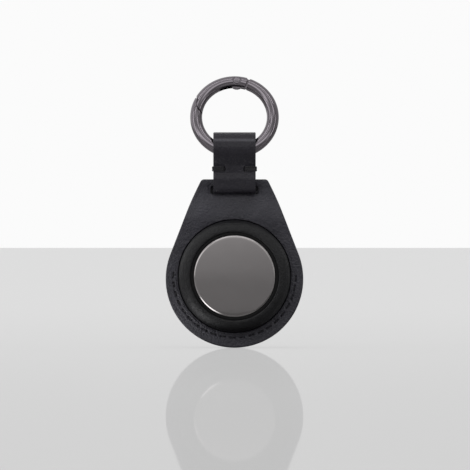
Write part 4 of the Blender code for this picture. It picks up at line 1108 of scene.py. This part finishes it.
class KEYRING_OT_stage(bpy.types.Operator):
    """Adds the camera, the floor and the sky of a plain studio"""
    bl_idname = "keyring.stage"
    bl_label = "Stage"

    def execute(self, context):
        scene = context.scene
        scene.view_settings.view_transform = "Standard"
        camera = bpy.data.cameras.new("camera")
        camera.sensor_width = 36
        camera.lens = camera.sensor_width * (CAMERA_DISTANCE + CAMERA_FOCUS) / VIEW_WIDTH
        camera.clip_start, camera.clip_end = 0.01, 100
        viewer = placed("camera", camera)
        viewer.location = (CAMERA_ACROSS, -CAMERA_DISTANCE, CAMERA_UP)
        viewer.rotation_euler = (UPRIGHT, 0, 0)
        scene.camera = viewer
        build = bmesh.new()
        bmesh.ops.create_circle(build, cap_ends=True, radius=FLOOR_RADIUS, segments=FLOOR_STEPS)
        floor = mesh_of(build, "floor", Matrix.Translation((0, 0, FLOOR_LEVEL)))
        floor.data.materials.append(floor_material())
        scene.world = sky()
        return {"FINISHED"}


def floor_material():
    """Glossy acrylic board: pale, with a painted falloff of light that makes it a little darker towards the
    camera, and a faint mirror image.

    Three quarters of what the camera sees of it is an even glow, which keeps the object's shadow
    light. The object's own reflections see it darker, a painted shade, with a nearly black patch in front
    and one bright patch, a painted reflection, which stands for the light that the board throws up at the
    pocket's lower left.
    """
    material, tree, place = new_material("glossy_acrylic_floor")
    camera = add_node(tree, "LightPath", output="Is Camera Ray")
    glossy = camera.node.outputs["Is Glossy Ray"]
    along = add_node(tree, "SeparateXYZ", {0: place}, "Y")
    # Painted falloff of light: darker towards the camera
    away = add_node(tree, "MapRange", {"Value": along, "From Min": -2.6, "From Max": 2.2},
                    interpolation_type="SMOOTHERSTEP")
    seen = add_node(tree, "Mix", {"Factor": away, 6: linear("#DCDCDC"), 7: linear("#EBEBEB")}, 2,
                    data_type="RGBA")
    # Painted shade, seen only in reflections: a nearly black patch in front of the fob
    dark = floor_patch(tree, place, glossy, (0, -0.042), 0.03, 0.06)
    other = add_node(tree, "Mix", {"Factor": dark, 6: linear("#909090"), 7: linear("#141414")}, 2,
                     data_type="RGBA")
    colour = add_node(tree, "Mix", {"Factor": camera, 6: other, 7: seen}, 2, data_type="RGBA")
    matt = add_node(tree, "BsdfDiffuse", {"Color": colour})
    glow = add_node(tree, "Emission", {"Color": seen, "Strength": 0.855})
    share = add_node(tree, "Math", {0: camera, 1: 0.75}, operation="MULTIPLY")
    matt = add_node(tree, "MixShader", {0: share, 1: matt, 2: glow})
    gloss = add_node(tree, "BsdfAnisotropic", {"Color": linear("#FFFFFF"), "Roughness": 0.015})
    mirror = add_node(tree, "MapRange", {"Value": along, "From Min": -0.9, "From Max": -0.1,
                                         "To Min": 0.16, "To Max": 0.22})
    board = add_node(tree, "MixShader", {0: mirror, 1: matt, 2: gloss})
    # Painted reflection: a glowing spot, seen only in reflections, for the light thrown up at the pocket's
    # lower left
    bright = floor_patch(tree, place, glossy, (-0.025, -0.023), 0.009, 0.019)
    bright = add_node(tree, "Math", {0: bright, 1: 3.5}, operation="MULTIPLY")
    bright = add_node(tree, "Emission", {"Strength": bright})
    add_node(tree, "OutputMaterial", {"Surface": add_node(tree, "AddShader", {0: board, 1: bright})})
    return material


def floor_patch(tree, place, glossy, centre, near, far):
    """For reflections alone: 1 round one spot of the floor and 0 away from it."""
    away = add_node(tree, "VectorMath", {0: place, 1: (*centre, FLOOR_LEVEL)}, "Value", operation="DISTANCE")
    patch = add_node(tree, "MapRange", {"Value": away, "From Min": far, "From Max": near},
                     interpolation_type="SMOOTHSTEP")
    return add_node(tree, "Math", {0: patch, 1: glossy}, operation="MULTIPLY")


def side_of_sky(tree, parts, axis, side):
    """Where each direction meets a plane one unit away on one side, and 1 where it does, else 0."""
    depth = add_node(tree, "Math", {0: parts[axis], 1: side}, operation="MULTIPLY")
    ahead = add_node(tree, "Math", {0: depth, 1: 0.0}, operation="GREATER_THAN")
    depth = add_node(tree, "Math", {0: depth, 1: 0.02}, operation="MAXIMUM")
    spots = [add_node(tree, "Math", {0: parts[other], 1: depth}, operation="DIVIDE")
             for other in "XYZ" if other != axis]
    return spots, ahead


def softbox(tree, spots, ahead, low, high, edge):
    """A soft-edged rectangle on one side of the sky: 1 inside and 0 outside."""
    for spot, near, far in zip(spots, low, high):
        for start, end in ((near - edge, near + edge), (far + edge, far - edge)):
            step = add_node(tree, "MapRange", {"Value": spot, "From Min": start, "From Max": end},
                            interpolation_type="SMOOTHSTEP")
            ahead = add_node(tree, "Math", {0: ahead, 1: step}, operation="MULTIPLY")
    return ahead


def sky():
    """A white wall for the camera; for the object a soft tent, dim in front, and seven softboxes."""
    world = bpy.data.worlds.new("studio")
    world.use_nodes = True
    tree = world.node_tree
    tree.nodes.clear()
    place = add_node(tree, "TexCoord", output="Generated")
    parts = add_node(tree, "SeparateXYZ", {0: place}).node.outputs
    level = add_node(tree, "MapRange", {"Value": parts["Y"], "From Min": -0.9, "From Max": 0.3,
                                        "To Min": SKY_FRONT, "To Max": SKY_REAR},
                     interpolation_type="SMOOTHSTEP")
    left = add_node(tree, "Math", {0: parts["X"], 1: SKY_RIGHT, 2: 1.0}, operation="MULTIPLY_ADD")
    level = add_node(tree, "Math", {0: level, 1: left}, operation="MULTIPLY")
    top = add_node(tree, "MapRange", {"Value": parts["Z"], "To Max": SKY_TOP})
    total = add_node(tree, "Math", {0: level, 1: top}, operation="ADD")
    lights = []
    for axis, side, low, high, strength, edge, surround in SOFTBOXES:
        spots, ahead = side_of_sky(tree, parts, axis, side)
        lights.append((softbox(tree, spots, ahead, low, high, edge), strength))
        if surround:
            low, high = [v - surround for v in low], [v + surround for v in high]
            outer = softbox(tree, spots, ahead, low, high, edge)
            kept = add_node(tree, "Math", {0: outer, 1: SURROUND, 2: 1.0}, operation="MULTIPLY_ADD")
            total = add_node(tree, "Math", {0: total, 1: kept}, operation="MULTIPLY")
    for mask, strength in lights:
        total = add_node(tree, "Math", {0: mask, 1: strength, 2: total}, operation="MULTIPLY_ADD")
    light = add_node(tree, "Background", {"Strength": total})
    wall = add_node(tree, "Background", {"Color": linear("#FBFBFB"), "Strength": 1.0})
    camera = add_node(tree, "LightPath", output="Is Camera Ray")
    add_node(tree, "OutputWorld", {"Surface": add_node(tree, "MixShader", {0: camera, 1: light, 2: wall})})
    return world


class KEYRING_OT_ring(bpy.types.Operator):
    """Builds the plated ring, its sprung gate and the rivet that the gate turns on"""
    bl_idname = "keyring.ring"
    bl_label = "Ring and Gate"

    def execute(self, context):
        # Dark plating with a warm violet cast: long soft streaks of light beside near black ones
        plate = polished_metal("gunmetal_plated_zinc", colours().ring, "#736E73", roughness=0.1,
                               scratch=0.2, depth=0.0000002)
        # Painted shade: near-black, lightless faces where the ring is cut, though they are plated like the
        # rest, so that the joints read as thin dark lines
        cut = moulded_plastic("joint_face_painted_shade", "#0C0C0D", "#121213", roughness=0.5, texture=0.2,
                              level=0.12)
        # A slightly softer and duller dot of steel at the hinge
        rivet = polished_metal("riveted_steel", "#827D82", "#767176", roughness=0.2, scratch=0.2,
                               depth=0.0000006)
        for make, body, slot, materials, node in (
                (make_ring_body, "ring", "gunmetal", (plate, cut), "ring_body"),
                (make_ring_gate, "gate", "gunmetal", (plate, cut), "ring_gate"),
                (make_rivet, "ring", "pin_steel", (rivet,), "gate_pivot_pin")):
            dress(make(), RING_PLACE, body, materials, (node,))
        return {"FINISHED"}


class KEYRING_OT_strap(bpy.types.Operator):
    """Builds the leather strap and the thread tacks that close it under the ring"""
    bl_idname = "keyring.strap"
    bl_label = "Strap and Tacks"

    def execute(self, context):
        values = colours()
        # Smoother and a little glossier than the panel: a soft sheen that follows the band's bends, and a
        # painted highlight, a paler band along the fold at the loop's top
        hide = leather("strap_leather", values.strap, values.strap_worn, sizes().grain, roughness=0.3,
                       depth=0.00009, level=0.22, fold=(FOLD_HIGHLIGHT_HEIGHT, FOLD_HIGHLIGHT_REACH))
        # Dull dark rim that outlines each layer of leather
        edge = burnished_edge("burnished_leather_edge", "#141416", values.edge, smoothest=0.35,
                              roughest=0.6)
        dress(make_strap(), STRAP_PLACE, "strap", (hide, edge), ("strap",), 50)
        # The seam's thread, rubbed paler, so that the tacks stand out from the strap
        tack_thread = waxed_thread("waxed_tack_thread", "#1C1B1F", "#2C2B2F")
        for side, word in ((-1, "left"), (1, "right")):
            tack = make_tack(f"strap_tack_{word}_thread", side)
            dress(tack, STRAP_PLACE, "strap", (tack_thread,), (f"strap_tack_{word}",))
        return {"FINISHED"}


class KEYRING_OT_fob(bpy.types.Operator):
    """Builds the two leather panels, the moulded pocket and the stitching of the fob"""
    bl_idname = "keyring.fob"
    bl_label = "Fob"

    def execute(self, context):
        values = colours()
        # Charcoal with a violet cast and a broken, pebbled sheen: clearly leather
        hide = leather("grained_leather", values.panel, values.panel_worn, sizes().grain, roughness=0.44,
                       depth=0.00016, level=0.4)
        # Blacker, finer and smoother, because it was pressed wet: soft highlights run round the ring
        calf = leather("moulded_leather", values.pocket, values.pocket_worn, sizes().grain * 0.7,
                       roughness=0.36, depth=0.00013, level=0.26)
        edge = bpy.data.materials["burnished_leather_edge"]
        # Black gloss on the rolled lip, whose bright arcs frame the steel
        lip = burnished_edge("burnished_pocket_lip", "#0B0B0D", "#141417", smoothest=0.16, roughest=0.32)
        front_slot = (SLOT_HALF_LENGTH, 0)
        for make, node, slot, materials, fit in (
                (make_front_panel, "front_panel", "panel_leather", (hide, edge), front_slot),
                (make_rear_panel, "rear_panel", "panel_leather", (hide, edge),
                 (REAR_SLOT_HALF_LENGTH, REAR_SLOT_LIP)),
                (make_pocket, "moulded_pocket", "moulded_leather", (calf, lip), front_slot)):
            piece = make()
            for material in materials:
                piece.data.materials.append(material)
            if make is not make_pocket:
                for face in piece.data.polygons:
                    if abs(face.normal.z) < STEEP:
                        face.material_index = 1
            piece = boolean(piece, slot_cutter(f"{node}_slot", *fit))
            dress(piece, FOB_PLACE, "fob", materials, (node,))
        # Thin, nearly black dashes that catch a dull light on top
        thread = waxed_thread("waxed_polyester_thread", "#101012", values.thread)
        dress(make_stitching(), FOB_PLACE, "fob", (thread,))
        return {"FINISHED"}


class KEYRING_OT_tag(bpy.types.Operator):
    """Builds the polished cover and finishes the tag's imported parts"""
    bl_idname = "keyring.tag"
    bl_label = "Tag"

    def execute(self, context):
        # Even silver grey; its domed face gives a soft change of tone from top to bottom
        steel = polished_metal("polished_grey_steel", colours().cover, "#9F9B9B", roughness=0.13,
                               scratch=0.3, depth=0.0000002)
        # Painted highlight: the rim's facets catch the light, and this much paler steel brightens their thin
        # light arcs
        chamfer = polished_metal("rim_steel_painted_highlight", "#E2E0DE", "#D6D4D2", roughness=0.13, scratch=0.3,
                                 depth=0.0000002)
        dress(make_cover(), FOB_PLACE, "cover", (steel, chamfer), ("battery_cover",))
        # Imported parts. After their two colours, plastics have a roughness, the width of their texture
        # and a shine, and metals a roughness, the width of their scratches and those scratches' depth
        for name, make, values, nodes in (
                # Black plastic with its shine turned low, as dark as the pocket's shadow: painted shade in
                # the gap round the cover
                ("black_polycarbonate", moulded_plastic, ("#09090A", "#0D0D0E", 0.35, 0.12, 0.2),
                 ("tag_frame", "battery_tray", "cover_lock_ring")),
                # Clean glossy white
                ("white_polycarbonate", moulded_plastic, ("#E8E8E6", "#DEDEDC", 0.32, 0.15),
                 ("tag_rear_shell",)),
                # Dark green lacquer
                ("solder_mask_board", moulded_plastic, ("#11301F", "#0D271A", 0.35, 0.3), ("circuit_board",)),
                # Milky and matt, a pale line between the cell's two steels
                ("nylon_gasket", moulded_plastic, ("#BFBDB6", "#B2B0A9", 0.5, 0.2), ("coin_cell_gasket",)),
                # Orange-brown, finely ridged
                ("enamelled_copper_wire", polished_metal, ("#B5652E", "#9C5324", 0.35, 0.2, 0.00002),
                 ("speaker_coil",)),
                # Warm bright grey
                ("nickel_plated_magnet", polished_metal, ("#BDB9B0", "#AFABA3", 0.22, 0.5, 0.000004),
                 ("speaker_magnet",)),
                # Pale and satin
                ("tinned_steel", polished_metal, ("#C4C4C2", "#B5B5B3", 0.35, 0.4, 0.000006),
                 ("shield_can",)),
                # Cool satin steel with fine handling scratches
                ("stainless_cell_steel", polished_metal, ("#BEBDBA", "#B0AFAC", 0.28, 0.4, 0.000005),
                 ("coin_cell_can", "coin_cell_cap")),
                # Yellow glints
                ("gold_plated_spring", polished_metal, ("#D9B25E", "#C9A250", 0.28, 0.3, 0.000004),
                 ("battery_contact_side_1", "battery_contact_side_2", "battery_contact_rear")),
                # Mid grey wire, drawn and a little rough
                ("spring_steel_wire", polished_metal, ("#A9A9AA", "#9A9A9B", 0.32, 0.2, 0.000006),
                 ("gate_spring", "gate_plunger"))):
            material = make(name, *values)
            for node in nodes:
                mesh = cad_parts[node].data
                mesh.materials.clear()
                mesh.materials.append(material)
        return {"FINISHED"}


class KEYRING_PT_panel(bpy.types.Panel):
    """Lists the steps that build the keyring"""
    bl_idname = "KEYRING_PT_panel"
    bl_label = "Smart Keyring"
    bl_space_type = "VIEW_3D"
    bl_region_type = "UI"
    bl_category = "Keyring"

    def draw(self, context):
        for group in (context.scene.keyring_sizes, context.scene.keyring_colours):
            for name in group.bl_rna.properties.keys():
                if name not in ("rna_type", "name"):
                    self.layout.prop(group, name)
        for operator in OPERATORS:
            self.layout.operator(operator.bl_idname)


OPERATORS = (KEYRING_OT_stage, KEYRING_OT_ring, KEYRING_OT_strap, KEYRING_OT_fob, KEYRING_OT_tag)
CLASSES = (KeyringSizes, KeyringColours, *OPERATORS, KEYRING_PT_panel)


def register():
    for item in CLASSES:
        bpy.utils.register_class(item)
    bpy.types.Scene.keyring_sizes = bpy.props.PointerProperty(type=KeyringSizes)
    bpy.types.Scene.keyring_colours = bpy.props.PointerProperty(type=KeyringColours)


def unregister():
    del bpy.types.Scene.keyring_colours
    del bpy.types.Scene.keyring_sizes
    for item in reversed(CLASSES):
        bpy.utils.unregister_class(item)


def main():
    register()
    bpy.ops.keyring.stage()
    bpy.ops.keyring.ring()
    bpy.ops.keyring.strap()
    bpy.ops.keyring.fob()
    bpy.ops.keyring.tag()


if __name__ == "__main__":
    main()
